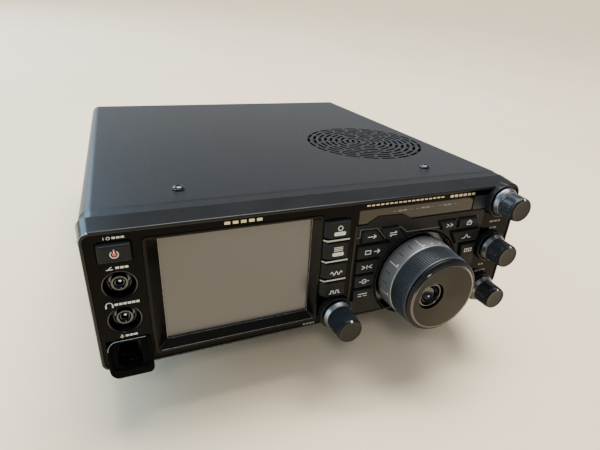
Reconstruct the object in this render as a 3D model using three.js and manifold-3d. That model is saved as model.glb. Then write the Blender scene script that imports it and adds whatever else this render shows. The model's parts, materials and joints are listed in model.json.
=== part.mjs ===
// A desk-top radio transceiver on its tilt bail, in millimetres.
// Cabinet frame: x to the right, y into the cabinet from the face, z up, face plane at y = 0.
// The whole cabinet is then tilted back on its bail and its origin set under the middle of its box.
import * as THREE from "three";
import { mergeVertices } from "three/addons/utils/BufferGeometryUtils.js";
import Module from "manifold-3d";

const wasm = await Module();
wasm.setup();

// ---- Driving dimensions ----
const caseWidth = 229;
const caseHeight = 71.4;
const frameDepth = 12;
const coverRear = 243;
const rearFace = 247; // outside of the rear plate
const fullDepth = 253;
const footHeight = 8;
const tilt = THREE.MathUtils.degToRad(6.5);
const sheet = 1.5; // cover sheet metal
const gap = 0.3; // clearance between touching pieces
const keyTravel = 0.8;

const halfWidth = caseWidth / 2;
const coverHalf = halfWidth - 0.4;
const coverFront = frameDepth + gap;
const fasciaFront = 0.5;
const fasciaBack = 3.3;
const boardFront = 13.4; // front control board
const boardBack = 15;
const chassisFloor = 4.8; // upper face of the chassis floor
const boardUnder = 12; // lower face of the main and amplifier boards
const boardOver = 13.6;

const dial = { x: 50, z: 22, ring: 26.7, opening: 25.6, skirt: 23, grip: 21.8, front: -24 };
const cup = { x: 42, z: 24.4, radius: 7.3, front: -22.9 };
const multi = { x: 0.8, z: 8.2, front: -18.5 };
const sideKnobX = 98.6;
const sideKnobZ = { volume: 61.4, squelch: 33.1, clarifier: 4.8 };
const bossRadius = 9.4;
const bossFront = -3;

const footX = 85;
const footRadius = 8;
const frontFootY = 48;
const rearFootY = 225;
const bailPivotZ = -4;
const bailBarY = 37;
const bailLegX = 73;
const bailEndX = 83.4;
const wireRadius = 2;

const speaker = { x: 63.7, y: 94, radius: 33 };
const coverScrew = { x: 71, y: 34 };
const fan = { x: 0, z: 36, half: 30, front: 225, back: 240, bore: 28 };

// ---- Materials ----
const paint = (color, roughness, metalness) =>
  new THREE.MeshStandardMaterial({ color, roughness, metalness });
const coverPaint = paint(0x2a2b2d, 0.62, 0.2);
const frameSatin = paint(0x2c2d30, 0.42, 0.1);
const fasciaGloss = paint(0x101114, 0.18, 0);
const panelSatin = paint(0x2b2d2f, 0.48, 0);
const keyPlastic = paint(0x303234, 0.5, 0);
const knobBlack = paint(0x191a1c, 0.45, 0.1);
const gripRubber = paint(0x1c2024, 0.75, 0);
const dialMetal = paint(0x6d6a64, 0.3, 0.9);
const cupGloss = paint(0x0c0c0d, 0.1, 0.3);
const screenGlass = paint(0x8b8a82, 0.08, 0);
const smokedGlass = paint(0x39322c, 0.12, 0);
const castAlloy = paint(0x8d9093, 0.5, 0.8);
const heatsinkBlack = paint(0x17181a, 0.55, 0.5);
const nickel = paint(0xc4c2bc, 0.28, 1);
const socketBlack = paint(0x121213, 0.5, 0);
const boardGreen = paint(0x1f4d33, 0.55, 0);
const paperCone = paint(0x222222, 0.9, 0);
const footRubber = paint(0x141414, 0.85, 0);
const brass = paint(0xb08d4a, 0.35, 1);

// ---- Shape helpers ----
function solid(geometry) {
  const bare = geometry.clone();
  bare.deleteAttribute("normal");
  bare.deleteAttribute("uv");
  const merged = mergeVertices(bare, 1e-4);
  return new wasm.Manifold(
    new wasm.Mesh({
      numProp: 3,
      vertProperties: new Float32Array(merged.attributes.position.array),
      triVerts: new Uint32Array(merged.index.array),
    }),
  );
}

function geometryOf(shape) {
  const made = shape.getMesh();
  const points = new Float32Array(made.numVert * 3);
  for (let i = 0; i < made.numVert; i++) {
    points.set(made.vertProperties.subarray(i * made.numProp, i * made.numProp + 3), i * 3);
  }
  const geometry = new THREE.BufferGeometry();
  geometry.setAttribute("position", new THREE.BufferAttribute(points, 3));
  geometry.setIndex(new THREE.BufferAttribute(new Uint32Array(made.triVerts), 1));
  geometry.computeVertexNormals();
  return geometry;
}

function joined(pieces) {
  return pieces.reduce((sum, piece) => sum.add(piece));
}

function without(body, cuts) {
  return cuts.reduce((rest, cut) => rest.subtract(cut), body);
}

function box(x0, x1, y0, y1, z0, z1) {
  const shape = new THREE.BoxGeometry(x1 - x0, y1 - y0, z1 - z0);
  shape.translate((x0 + x1) / 2, (y0 + y1) / 2, (z0 + z1) / 2);
  return solid(shape);
}

// A round bar along Y; its radius may change from the front end to the back end.
function rodY(x, z, y0, y1, frontRadius, backRadius = frontRadius, sides = 20) {
  const shape = new THREE.CylinderGeometry(backRadius, frontRadius, y1 - y0, sides);
  shape.translate(x, (y0 + y1) / 2, z);
  return solid(shape);
}

function rodZ(x, y, z0, z1, bottomRadius, topRadius = bottomRadius, sides = 16) {
  const shape = new THREE.CylinderGeometry(topRadius, bottomRadius, z1 - z0, sides);
  shape.rotateX(Math.PI / 2);
  shape.translate(x, y, (z0 + z1) / 2);
  return solid(shape);
}

function rodX(x0, x1, y, z, radius, sides = 10) {
  const shape = new THREE.CylinderGeometry(radius, radius, x1 - x0, sides);
  shape.rotateZ(Math.PI / 2);
  shape.translate((x0 + x1) / 2, y, z);
  return solid(shape);
}

// A body of revolution about an axis along Y at (x, z). The profile is [radius, y] points that
// start and end on the axis, from the front to the back.
function turnedY(x, z, profile, sides = 40) {
  const points = profile.map(([radius, y]) => new THREE.Vector2(radius, y));
  const shape = new THREE.LatheGeometry(points, sides);
  shape.translate(x, 0, z);
  return solid(shape);
}

function arc(cx, cz, radius, from, to, steps) {
  return Array.from({ length: steps + 1 }, (_, i) => {
    const angle = THREE.MathUtils.degToRad(from + ((to - from) * i) / steps);
    return [cx + radius * Math.cos(angle), cz + radius * Math.sin(angle)];
  });
}

// Counter-clockwise outline seen from the front, with its own top and bottom corner radii.
function roundedRect(x0, x1, z0, z1, top, bottom = top, steps = 4) {
  return [
    ...arc(x1 - bottom, z0 + bottom, bottom, -90, 0, steps),
    ...arc(x1 - top, z1 - top, top, 0, 90, steps),
    ...arc(x0 + top, z1 - top, top, 90, 180, steps),
    ...arc(x0 + bottom, z0 + bottom, bottom, 180, 270, steps),
  ];
}

// A solid through matching outlines, each at its own depth y, front to back.
function loft(sections) {
  const count = sections[0].outline.length;
  const positions = [];
  for (const { y, outline } of sections) {
    for (const [x, z] of outline) {
      positions.push(x, y, z);
    }
  }
  const index = [];
  for (let s = 0; s + 1 < sections.length; s++) {
    for (let i = 0; i < count; i++) {
      const a = s * count + i;
      const b = s * count + ((i + 1) % count);
      index.push(a, a + count, b + count, a, b + count, b);
    }
  }
  const cap = (outline) =>
    THREE.ShapeUtils.triangulateShape(outline.map(([x, z]) => new THREE.Vector2(x, z)), []);
  const last = (sections.length - 1) * count;
  for (const [a, b, c] of cap(sections[0].outline)) {
    index.push(a, b, c);
  }
  for (const [a, b, c] of cap(sections[sections.length - 1].outline)) {
    index.push(last + c, last + b, last + a);
  }
  const shape = new THREE.BufferGeometry();
  shape.setAttribute("position", new THREE.Float32BufferAttribute(positions, 3));
  shape.setIndex(index);
  return solid(shape);
}

function prism(outline, y0, y1) {
  return loft([{ y: y0, outline }, { y: y1, outline }]);
}

function roundedBox(x0, x1, y0, y1, z0, z1, top, bottom = top) {
  return prism(roundedRect(x0, x1, z0, z1, top, bottom), y0, y1);
}

const cabinet = new THREE.Group();

function place(name, shape, material) {
  const mesh = new THREE.Mesh(geometryOf(shape), material);
  mesh.name = name;
  cabinet.add(mesh);
}

const dialSides = 40;
const knobPlaces = [
  [multi.x, multi.z],
  [sideKnobX, sideKnobZ.volume],
  [sideKnobX, sideKnobZ.squelch],
  [sideKnobX, sideKnobZ.clarifier],
];

// ---- Casing ----
// Speaker grille: rings of arc slots through the top sheet.
function grilleSlots() {
  const slots = [];
  const slotWidth = 2.4;
  for (let ring = 0; ring < 4; ring++) {
    const radius = 8 + ring * 9;
    const count = 4 + ring * 2;
    const reach = 360 / count - 16 + ring * 2;
    for (let i = 0; i < count; i++) {
      const from = (360 / count) * (i + (ring % 2) / 2);
      const outer = arc(speaker.x, speaker.y, radius + slotWidth / 2, from, from + reach, 2);
      const inner = arc(speaker.x, speaker.y, radius - slotWidth / 2, from + reach, from, 2);
      const outline = new THREE.Shape([...outer, ...inner].map(([x, y]) => new THREE.Vector2(x, y)));
      const cutter = new THREE.ExtrudeGeometry(outline, { depth: 4 * sheet, bevelEnabled: false });
      cutter.translate(0, 0, caseHeight - 3 * sheet);
      slots.push(solid(cutter));
    }
  }
  return slots;
}

function coverShell(seamZ, edgeZ, radius) {
  const up = edgeZ > seamZ ? 1 : -1;
  const bend = (half, z, r) => [
    [half, seamZ],
    ...arc(half - r, z - up * r, r, 0, up * 90, 5),
    ...arc(r - half, z - up * r, r, up * 90, up * 180, 5),
    [-half, seamZ],
  ];
  const outer = bend(coverHalf, edgeZ, radius);
  const inner = bend(coverHalf - sheet, edgeZ - up * sheet, radius - sheet).reverse();
  const outline = [...outer, ...inner];
  return prism(up > 0 ? outline : outline.reverse(), coverFront, coverRear);
}

function topCover() {
  const holes = [-1, 1].map((side) =>
    rodZ(side * coverScrew.x, coverScrew.y, caseHeight - 3, caseHeight + 1, 1.8, 1.8, 12),
  );
  place("top_cover", without(coverShell(36, caseHeight, 6), [...holes, ...grilleSlots()]), coverPaint);
}

function bottomCover() {
  const vents = [];
  for (let i = 0; i < 9; i++) {
    const x = (i - 4) * 9;
    vents.push(box(x - 1.5, x + 1.5, 120, 165, -1, sheet + 1));
  }
  place("bottom_cover", without(coverShell(35.6, 0, 4.5), vents), coverPaint);
}

function chassis() {
  const half = coverHalf - sheet - 1.2;
  const wall = 2.4;
  const front = 17;
  const rear = 241;
  const bottom = 2.4;
  const top = 62;
  const posts = [-coverScrew.x, coverScrew.x];
  const body = joined([
    box(-half, half, front, rear, bottom, chassisFloor),
    box(-half, wall - half, front, rear, bottom, top),
    box(half - wall, half, front, rear, bottom, top),
    box(-half, half, front, front + 2, bottom, top),
    ...posts.map((x) => rodZ(x, coverScrew.y, 4, caseHeight - sheet - 0.5, 3.6, 3.6, 12)),
    ...posts.map((x) => box(x - 2, x + 2, front + 1, coverScrew.y, 4, top - 2)),
  ]);
  const bores = posts.map((x) => rodZ(x, coverScrew.y, 58, 70, 1.8, 1.8, 12));
  const windows = [-60, 0, 60].map((x) => box(x - 22, x + 22, front - 1, front + 3, 14, 50));
  place("chassis", without(body, [...bores, ...windows]), castAlloy);
}

function coverScrews() {
  for (const [side, name] of [[-1, "left"], [1, "right"]]) {
    const x = side * coverScrew.x;
    const seat = caseHeight + gap;
    const head = rodZ(x, coverScrew.y, seat, seat + 1.7, 2.9, 2.2, 20);
    const shank = rodZ(x, coverScrew.y, 60, seat + 0.5, 1.4, 1.4, 12);
    const slots = [
      box(x - 1.7, x + 1.7, coverScrew.y - 0.35, coverScrew.y + 0.35, seat + 0.8, seat + 3),
      box(x - 0.35, x + 0.35, coverScrew.y - 1.7, coverScrew.y + 1.7, seat + 0.8, seat + 3),
    ];
    place("cover_screw_" + name, without(head.add(shank), slots), heatsinkBlack);
  }
}

// Rear plate with a guarded fan opening and two banks of vertical fins.
function rearHeatsink() {
  const plate = roundedBox(-111, 111, coverRear + gap, rearFace, 2.5, 69, 4);
  const opening = rodY(fan.x, fan.z, coverRear, rearFace + 1, 27, 27, 28);
  const guardFront = rearFace - 2.4;
  const guardBack = rearFace - 0.4;
  const spokes = [];
  for (let i = 0; i < 4; i++) {
    const spoke = new THREE.BoxGeometry(56, guardBack - guardFront, 2.4);
    spoke.rotateY((i * Math.PI) / 4);
    spoke.translate(fan.x, (guardFront + guardBack) / 2, fan.z);
    spokes.push(solid(spoke));
  }
  const guardRing = (radius) =>
    rodY(fan.x, fan.z, guardFront, guardBack, radius + 1, radius + 1, 20).subtract(
      rodY(fan.x, fan.z, guardFront - 1, guardBack + 1, radius - 1, radius - 1, 20),
    );
  const firstFin = 31;
  const finPitch = 3.12;
  const fins = [];
  for (let i = 0; i < 6; i++) {
    for (const side of [-1, 1]) {
      const x = side * (firstFin + i * finPitch);
      fins.push(box(x - 0.8, x + 0.8, rearFace - 0.5, fullDepth, 5, 66.5));
    }
  }
  const holes = rearPorts.map(({ x, z, halfX, halfZ }) =>
    box(x - halfX, x + halfX, coverRear, rearFace + 1, z - halfZ, z + halfZ),
  );
  const body = joined([plate.subtract(opening), ...spokes, guardRing(11), guardRing(20), ...fins]);
  place("rear_heatsink", without(body, holes), heatsinkBlack);
}

// ---- Face ----
function frontFrame() {
  const shell = loft([
    { y: 0, outline: roundedRect(-113.2, 113.2, 0.9, 70.1, 7, 4) },
    { y: frameDepth, outline: roundedRect(-halfWidth, halfWidth, 0, caseHeight, 8, 4.5) },
  ]);
  const cavity = roundedBox(-111.8, 111.8, -1, frameDepth + 1, 2.2, 68.7, 5.6, 3);
  const lobe = rodY(sideKnobX, sideKnobZ.clarifier, fasciaBack + gap, frameDepth, 9.8, 10.2, 28);
  const lobeInside = rodY(sideKnobX, sideKnobZ.clarifier, 0, frameDepth + 1, 8.4, 8.4, 24);
  const bossCuts = knobPlaces.map(([x, z]) =>
    rodY(x, z, -1, fasciaBack + gap, bossRadius + gap, bossRadius + gap, 28),
  );
  const micCut = box(
    micBezel.x0 - gap, micBezel.x1 + gap, -1, fasciaBack + gap, -1, micBezel.z1 + gap,
  );
  const ring = rodY(dial.x, dial.z, -0.2, frameDepth, dial.ring - 0.4, dial.ring, dialSides);
  const body = without(shell.add(lobe), [cavity, lobeInside, micCut, ...bossCuts]).add(ring);
  const hole = rodY(dial.x, dial.z, -1, frameDepth + 1, dial.opening, dial.opening, dialSides);
  place("front_frame", body.subtract(hole), frameSatin);
}

const screen = { x0: -90.5, x1: -9.7, z0: 4.8, z1: 65.1, depth: 4.8 };
const panel = { x0: 8.9, x1: 90.3, z1: 57 };
const lampStrip = { x0: 9.6, x1: 80.4, z0: 57.3, z1: 64.8 };
const jackPlaces = [
  ["key_jack", 44.5],
  ["phones_jack", 27],
];
const jackX = -100.9;
const micBezel = { x0: -109.9, x1: -91.4, z0: 0.8, z1: 16.7, reach: 6 };

// Key caps: face outline corners (left-bottom, right-bottom, right-top, left-top) in x and z,
// and how far the cap stands out.
const slab = (x0, x1, z0, z1) => [[x0, z0], [x1, z0], [x1, z1], [x0, z1]];
const keys = [
  { name: "power_button", face: slab(-107.2, -94.8, 56.8, 64.3), rise: 2 },
  { name: "function_key", face: slab(-7.4, 3.9, 53.1, 61.5), rise: 2.2, ramp: 1.4 },
  { name: "menu_key", face: slab(-7.4, 3.9, 41.4, 50.6), rise: 2.2, ramp: 1.4 },
  { name: "band_key", face: slab(-7.4, 4.2, 30.4, 39), rise: 2.2, ramp: 1.4 },
  { name: "mode_key", face: slab(-7.4, 4.2, 18.9, 27.9), rise: 2.2, ramp: 1.4 },
  { name: "copy_key", face: [[11.9, 47.6], [24.6, 47.6], [19.6, 53.8], [11.9, 53.8]], rise: 1.5 },
  { name: "swap_key", face: [[26.8, 47.6], [37.2, 47.6], [32.4, 53.8], [22, 53.8]], rise: 1.5 },
  { name: "recall_key", face: [[10.2, 38.2], [26.2, 38.2], [28.6, 45.6], [10.2, 45.6]], rise: 1.5 },
  { name: "tune_key", face: [[10.2, 29.4], [22.2, 29.4], [23, 36.9], [10.2, 36.9]], rise: 1.5 },
  { name: "spot_key", face: slab(10.3, 21.4, 20.8, 28.1), rise: 1.5 },
  { name: "split_key", face: slab(10.3, 21.8, 12.3, 19.5), rise: 1.5 },
  { name: "fast_key", face: [[61.5, 48.3], [70.7, 48.3], [70.7, 53], [59.2, 53]], rise: 1.5 },
  { name: "lock_key", face: [[72.3, 48.3], [87.6, 48.3], [84.6, 53], [72.3, 53]], rise: 1.5 },
  { name: "clarifier_key", face: [[73, 38.4], [87.9, 38.4], [87.9, 45.6], [68.6, 45.6]], rise: 1.5 },
  { name: "memory_key", face: [[78.6, 28.6], [87.9, 28.6], [87.9, 36.8], [77.4, 36.8]], rise: 1.5 },
];

// The outline moved outward (or inward when negative) along each corner's bisector.
function grown(outline, amount) {
  const count = outline.length;
  return outline.map(([x, z], i) => {
    const before = outline[(i + count - 1) % count];
    const after = outline[(i + 1) % count];
    const inDir = new THREE.Vector2(x - before[0], z - before[1]).normalize();
    const outDir = new THREE.Vector2(after[0] - x, after[1] - z).normalize();
    const normal = new THREE.Vector2(inDir.y + outDir.y, -inDir.x - outDir.x).normalize();
    const scale = amount / Math.max(0.4, normal.dot(new THREE.Vector2(inDir.y, -inDir.x)));
    return [x + normal.x * scale, z + normal.y * scale];
  });
}

const keyFlare = 0.45; // each cap is a little wider at its base than at its face

function keyBase(key) {
  const base = grown(key.face, keyFlare);
  const ramp = key.ramp || 0;
  return base.map(([x, z], i) => (i === 0 || i === 3 ? [x - ramp, z] : [x, z]));
}

function keyCentre(key) {
  const sum = key.face.reduce(([sx, sz], [x, z]) => [sx + x, sz + z], [0, 0]);
  return [sum[0] / key.face.length, sum[1] / key.face.length];
}

function keyCaps() {
  const stemEnd = boardFront - 1.2 - keyTravel - 0.2;
  for (const key of keys) {
    const base = keyBase(key);
    const [x, z] = keyCentre(key);
    const cap = loft([
      { y: -key.rise, outline: grown(key.face, -0.5) },
      { y: 0.4 - key.rise, outline: key.face },
      { y: fasciaFront, outline: base },
      { y: 6, outline: base },
    ]);
    place(key.name, cap.add(rodY(x, z, 5.5, stemEnd, 1.4, 1.4, 8)), keyPlastic);
  }
}

function keyHole(key) {
  return prism(grown(keyBase(key), gap), -1, fasciaBack + 2);
}

function frontFascia() {
  const face = roundedBox(-111.5, 111.5, fasciaFront, fasciaBack, 2.5, 68.4, 5.3, 2.7);
  const bosses = knobPlaces.map(([x, z]) =>
    rodY(x, z, bossFront, fasciaBack, bossRadius - 0.6, bossRadius, 28),
  );
  const trims = [28.9, 40.2, 51.8].map((z) => box(-7.8, 4.2, -1.8, 1, z - 0.45, z + 0.45));
  const windows = [
    roundedBox(screen.x0 - gap, screen.x1 + gap, -1, 5, screen.z0 - gap, screen.z1 + gap, 2.3),
    box(panel.x0 - gap, panel.x1 + gap, -1, 5, -6, panel.z1 + gap),
    box(lampStrip.x0 - gap, lampStrip.x1 + gap, -1, 5, panel.z1, lampStrip.z1 + gap),
  ];
  const holes = [
    roundedBox(micBezel.x0 - gap, micBezel.x1 + gap, -1, 5, -1, micBezel.z1 + gap, 2.5),
    ...jackPlaces.map(([, z]) => rodY(jackX, z, fasciaFront - 0.1, fasciaBack + 0.1, 6.9, 4.4, 24)),
    ...knobPlaces.map(([x, z]) => rodY(x, z, -5, 5, 3.6, 3.6, 16)),
    ...keys.filter((key) => keyCentre(key)[0] < panel.x0).map(keyHole),
  ];
  const plate = without(face, windows);
  const [multiBoss, ...sideBosses] = bosses;
  const clearOfPanel = multiBoss.subtract(box(panel.x0 - gap, 30, -6, 5, -10, 40));
  place(
    "front_fascia",
    without(joined([plate, clearOfPanel, ...sideBosses, ...trims]), holes),
    fasciaGloss,
  );
}

function controlPanel() {
  const plate = box(panel.x0, panel.x1, fasciaFront, fasciaBack, 2.5, panel.z1);
  const cuts = [
    rodY(dial.x, dial.z, -1, 5, dial.ring + gap, dial.ring + gap, dialSides),
    ...knobPlaces.map(([x, z]) => rodY(x, z, -5, 5, bossRadius + gap, bossRadius + gap, 28)),
    ...keys.filter((key) => keyCentre(key)[0] > panel.x0).map(keyHole),
  ];
  place("control_panel", without(plate, cuts), panelSatin);
}

function display() {
  const outer = roundedBox(screen.x0, screen.x1, 0.1, screen.depth, screen.z0, screen.z1, 2);
  const funnel = loft([
    { y: 0, outline: roundedRect(screen.x0 + 1.4, screen.x1 - 1.2, screen.z0 + 1.4, screen.z1 - 1.2, 1.4) },
    { y: screen.depth + 0.1, outline: roundedRect(-84.1, -14, 9.1, 62.2, 0.8) },
  ]);
  place("display_bezel", outer.subtract(funnel), fasciaGloss);
  const glassFront = screen.depth + gap;
  place("display_window", box(-88.2, -11, glassFront, glassFront + 1.2, 6.1, 64.2), screenGlass);
  const moduleFront = glassFront + 1.2 + gap;
  place("display_module", box(-87.2, -11.4, moduleFront, moduleFront + 4.4, 6.5, 63.8), heatsinkBlack);
}

function indicatorWindow() {
  place(
    "indicator_window",
    box(lampStrip.x0, lampStrip.x1, fasciaFront + 0.2, 2.4, lampStrip.z0, lampStrip.z1),
    smokedGlass,
  );
}

// The microphone bezel leans out towards its foot; its face is a sunken tray round the socket.
function microphone() {
  const { x0, x1, z0, z1, reach } = micBezel;
  const block = roundedBox(x0, x1, -reach, fasciaBack, z0, z1, 2.2, 4);
  const lean = Math.atan2(reach, z1 - z0);
  const slanted = (shape, depth) => {
    shape.translate(0, depth - 20, 0);
    shape.rotateX(-lean);
    shape.translate((x0 + x1) / 2, 0, z1);
    return solid(shape);
  };
  const above = slanted(new THREE.BoxGeometry(60, 40, 80), 0);
  const tray = slanted(new THREE.BoxGeometry(x1 - x0 - 3, 40, 80), 1.2).intersect(
    box(x0, x1, -20, 5, z0 + 2, z1 - 1.2),
  );
  const mouth = box(-103.3, -96, -10, 5, 4, 15.4);
  const notch = box(-106, -102.8, -10, 5, 5.6, 13.2);
  place("mic_bezel", without(block, [above, tray, mouth, notch]), frameSatin);

  const socket = box(-108.3, -93, fasciaBack + gap, 11.8, 3.4, 16.5);
  const barrel = [
    box(-102.9, -96.4, 3, 10.8, 4.3, 15.1),
    box(-105.7, -102.8, 3, 10.8, 5.9, 12.9),
  ];
  const keel = box(-97, -96.3, 3.8, 11, 4.1, 15.3);
  place("mic_socket", without(socket, barrel).add(keel), socketBlack);
}

function jacks() {
  for (const [name, z] of jackPlaces) {
    const ferrule = rodY(jackX, z, 2.2, fasciaBack + 2, 3.5, 3.5, 20);
    const body = box(jackX - 5.5, jackX + 5.5, fasciaBack + gap, 12.8, z - 5.5, z + 5.5);
    const bore = rodY(jackX, z, 1, 11.5, 1.8, 1.8, 12);
    place(name, ferrule.add(body).subtract(bore), nickel);
  }
}

// ---- Dial and knobs ----
function tuningDial() {
  const { x, z, front } = dial;
  const hub = turnedY(x, z, [
    [0, front],
    [18.2, front],
    [19.4, front + 0.9],
    [20.9, front + 1.4],
    [21.2, front + 1.8],
    [21.2, front + 2.6],
    [19.4, front + 2.6],
    [19.4, -9],
    [22, -9],
    [22.5, -8.4],
    [dial.skirt, 1.5],
    [21, 1.5],
    [3, 1.5],
    [3, 9],
    [0, 9],
  ], dialSides);
  const pocket = rodY(cup.x, cup.z, front - 1, -14, cup.radius + gap, cup.radius + gap, 28);
  place("dial_hub", hub.subtract(pocket), dialMetal);

  const sleeve = rodY(x, z, front + 3, -9.3, dial.grip - 0.5, dial.grip, dialSides);
  const bore = rodY(x, z, front, 0, 19.7, 19.7, dialSides);
  place("dial_grip", sleeve.subtract(bore), gripRubber);

  const bowlDepth = 5.4;
  const bowlRadius = cup.radius - 0.9;
  const bowl = [];
  for (let i = 0; i <= 5; i++) {
    const angle = (Math.PI / 2) * (i / 5);
    const y = cup.front + bowlDepth * Math.cos(angle);
    bowl.push([i === 0 ? 0 : bowlRadius * Math.sin(angle), y]);
  }
  const shell = turnedY(cup.x, cup.z, [
    ...bowl,
    [cup.radius - 0.4, cup.front - 0.3],
    [cup.radius, cup.front + 0.1],
    [cup.radius, -14.3],
    [0, -14.3],
  ], 28);
  place("finger_cup", shell, cupGloss);

  const flange = rodY(x, z, 5, 6.4, dial.opening - gap, dial.opening - gap, 32);
  const can = rodY(x, z, 6, 13, 12, 12, 24);
  const bush = rodY(x, z, 2.2, 6, 6, 6, 24);
  const shaftBore = rodY(x, z, 1, 10, 3.4, 3.4, 24);
  place("dial_encoder", joined([flange, can, bush]).subtract(shaftBore), castAlloy);
}

function knob(name, x, z, front) {
  const back = bossFront - 0.6;
  const profile = [
    [0, front],
    [5.9, front],
    [6.7, front + 0.8],
    [7.1, back - 2.2],
    [8.3, back - 2],
    [8.3, back],
    [3, back],
    [3, 9],
    [0, 9],
  ];
  place(name, turnedY(x, z, profile, 18), knobBlack);
}

function knobs() {
  knob("multi_knob", multi.x, multi.z, multi.front);
  for (const [role, z] of Object.entries(sideKnobZ)) {
    knob(role + "_knob", sideKnobX, z, -16);
  }
}

// ---- Boards ----
function frontBoard() {
  const board = box(-110, 110, boardFront, boardBack, 3, 68);
  const switches = keys.map((key) => {
    const [x, z] = keyCentre(key);
    return rodY(x, z, boardFront - 1.2, boardFront + 0.5, 2.2, 2.2, 8);
  });
  const controls = knobPlaces.map(([x, z]) => {
    const low = Math.max(z - 6, 3);
    return box(x - 6, x + 6, 6.5, boardFront + 0.5, low, z + 6);
  });
  const bores = knobPlaces.map(([x, z]) => rodY(x, z, 4, 10, 3.4, 3.4, 14));
  place("front_board", without(joined([board, ...switches, ...controls]), bores), boardGreen);
}

const boardHalf = 106;

// Four pillars between the chassis floor and a board, in two rows.
function boardPillars(frontY, rearY) {
  const places = [[-100, frontY], [100, frontY], [-100, rearY], [100, rearY]];
  return places.map(([x, y]) => rodZ(x, y, chassisFloor + gap, boardUnder + 0.5, 3, 3, 10));
}

// Components stand as plain blocks: x, y, side and height above the board.
function mainBoard() {
  const parts = [[-78, 60, 26, 9], [-30, 52, 34, 7], [30, 60, 28, 6], [-70, 118, 30, 12], [-16, 116, 30, 16]];
  const blocks = parts.map(([x, y, size, height]) =>
    box(x - size / 2, x + size / 2, y - size / 2, y + size / 2, boardUnder, boardOver + height),
  );
  const board = box(-boardHalf, boardHalf, 42, 152, boardUnder, boardOver);
  place("main_board", joined([board, ...blocks, ...boardPillars(45, 145)]), boardGreen);
}

function amplifierBoard() {
  const board = box(-boardHalf, boardHalf, 156, 222, boardUnder, boardOver);
  const cores = [-60, -34, 34, 60].map((x) => rodZ(x, 180, 13, 32, 9, 9, 14));
  const relays = [-84, -64, 64, 84].map((x) => box(x - 7, x + 7, 202, 218, 13, 28));
  const pillars = boardPillars(160, 218);
  place("amplifier_board", joined([board, ...cores, ...relays, ...pillars]), boardGreen);
}

function loudspeaker() {
  const { x, y, radius } = speaker;
  const top = caseHeight - sheet - gap;
  const profile = [
    [0, top - 18],
    [15, top - 18],
    [15, top - 12],
    [radius - 5, top - 3],
    [radius, top - 3],
    [radius, top],
    [radius - 5, top],
    [9, top - 8],
    [0, top - 7],
  ].map(([r, z]) => new THREE.Vector2(r, z));
  const shape = new THREE.LatheGeometry(profile, 28);
  shape.rotateX(Math.PI / 2);
  shape.translate(x, y, 0);
  place("speaker", solid(shape), paperCone);
}

// ---- Rear ports ----
// Each port's centre and the half sizes of its hole in the rear plate.
const rearPorts = [
  { name: "antenna_socket_hf", x: -92, z: 47, halfX: 8.4, halfZ: 8.4 },
  { name: "antenna_socket_vhf", x: -62, z: 47, halfX: 8.4, halfZ: 8.4 },
  { name: "ground_terminal", x: -92, z: 16, halfX: 2.4, halfZ: 2.4 },
  { name: "power_inlet", x: 92, z: 48, halfX: 10.4, halfZ: 9.4 },
  { name: "serial_socket", x: 63, z: 54, halfX: 9.2, halfZ: 5 },
  { name: "usb_socket", x: 92, z: 20, halfX: 6.3, halfZ: 6.3 },
  { name: "data_socket", x: 72, z: 22, halfX: 6.8, halfZ: 6.8 },
  { name: "tuner_socket", x: -62, z: 18, halfX: 6.8, halfZ: 6.8 },
  { name: "speaker_jack", x: 56, z: 16, halfX: 4.4, halfZ: 4.4 },
];

function portAt(name) {
  return rearPorts.find((port) => port.name === name);
}

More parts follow.
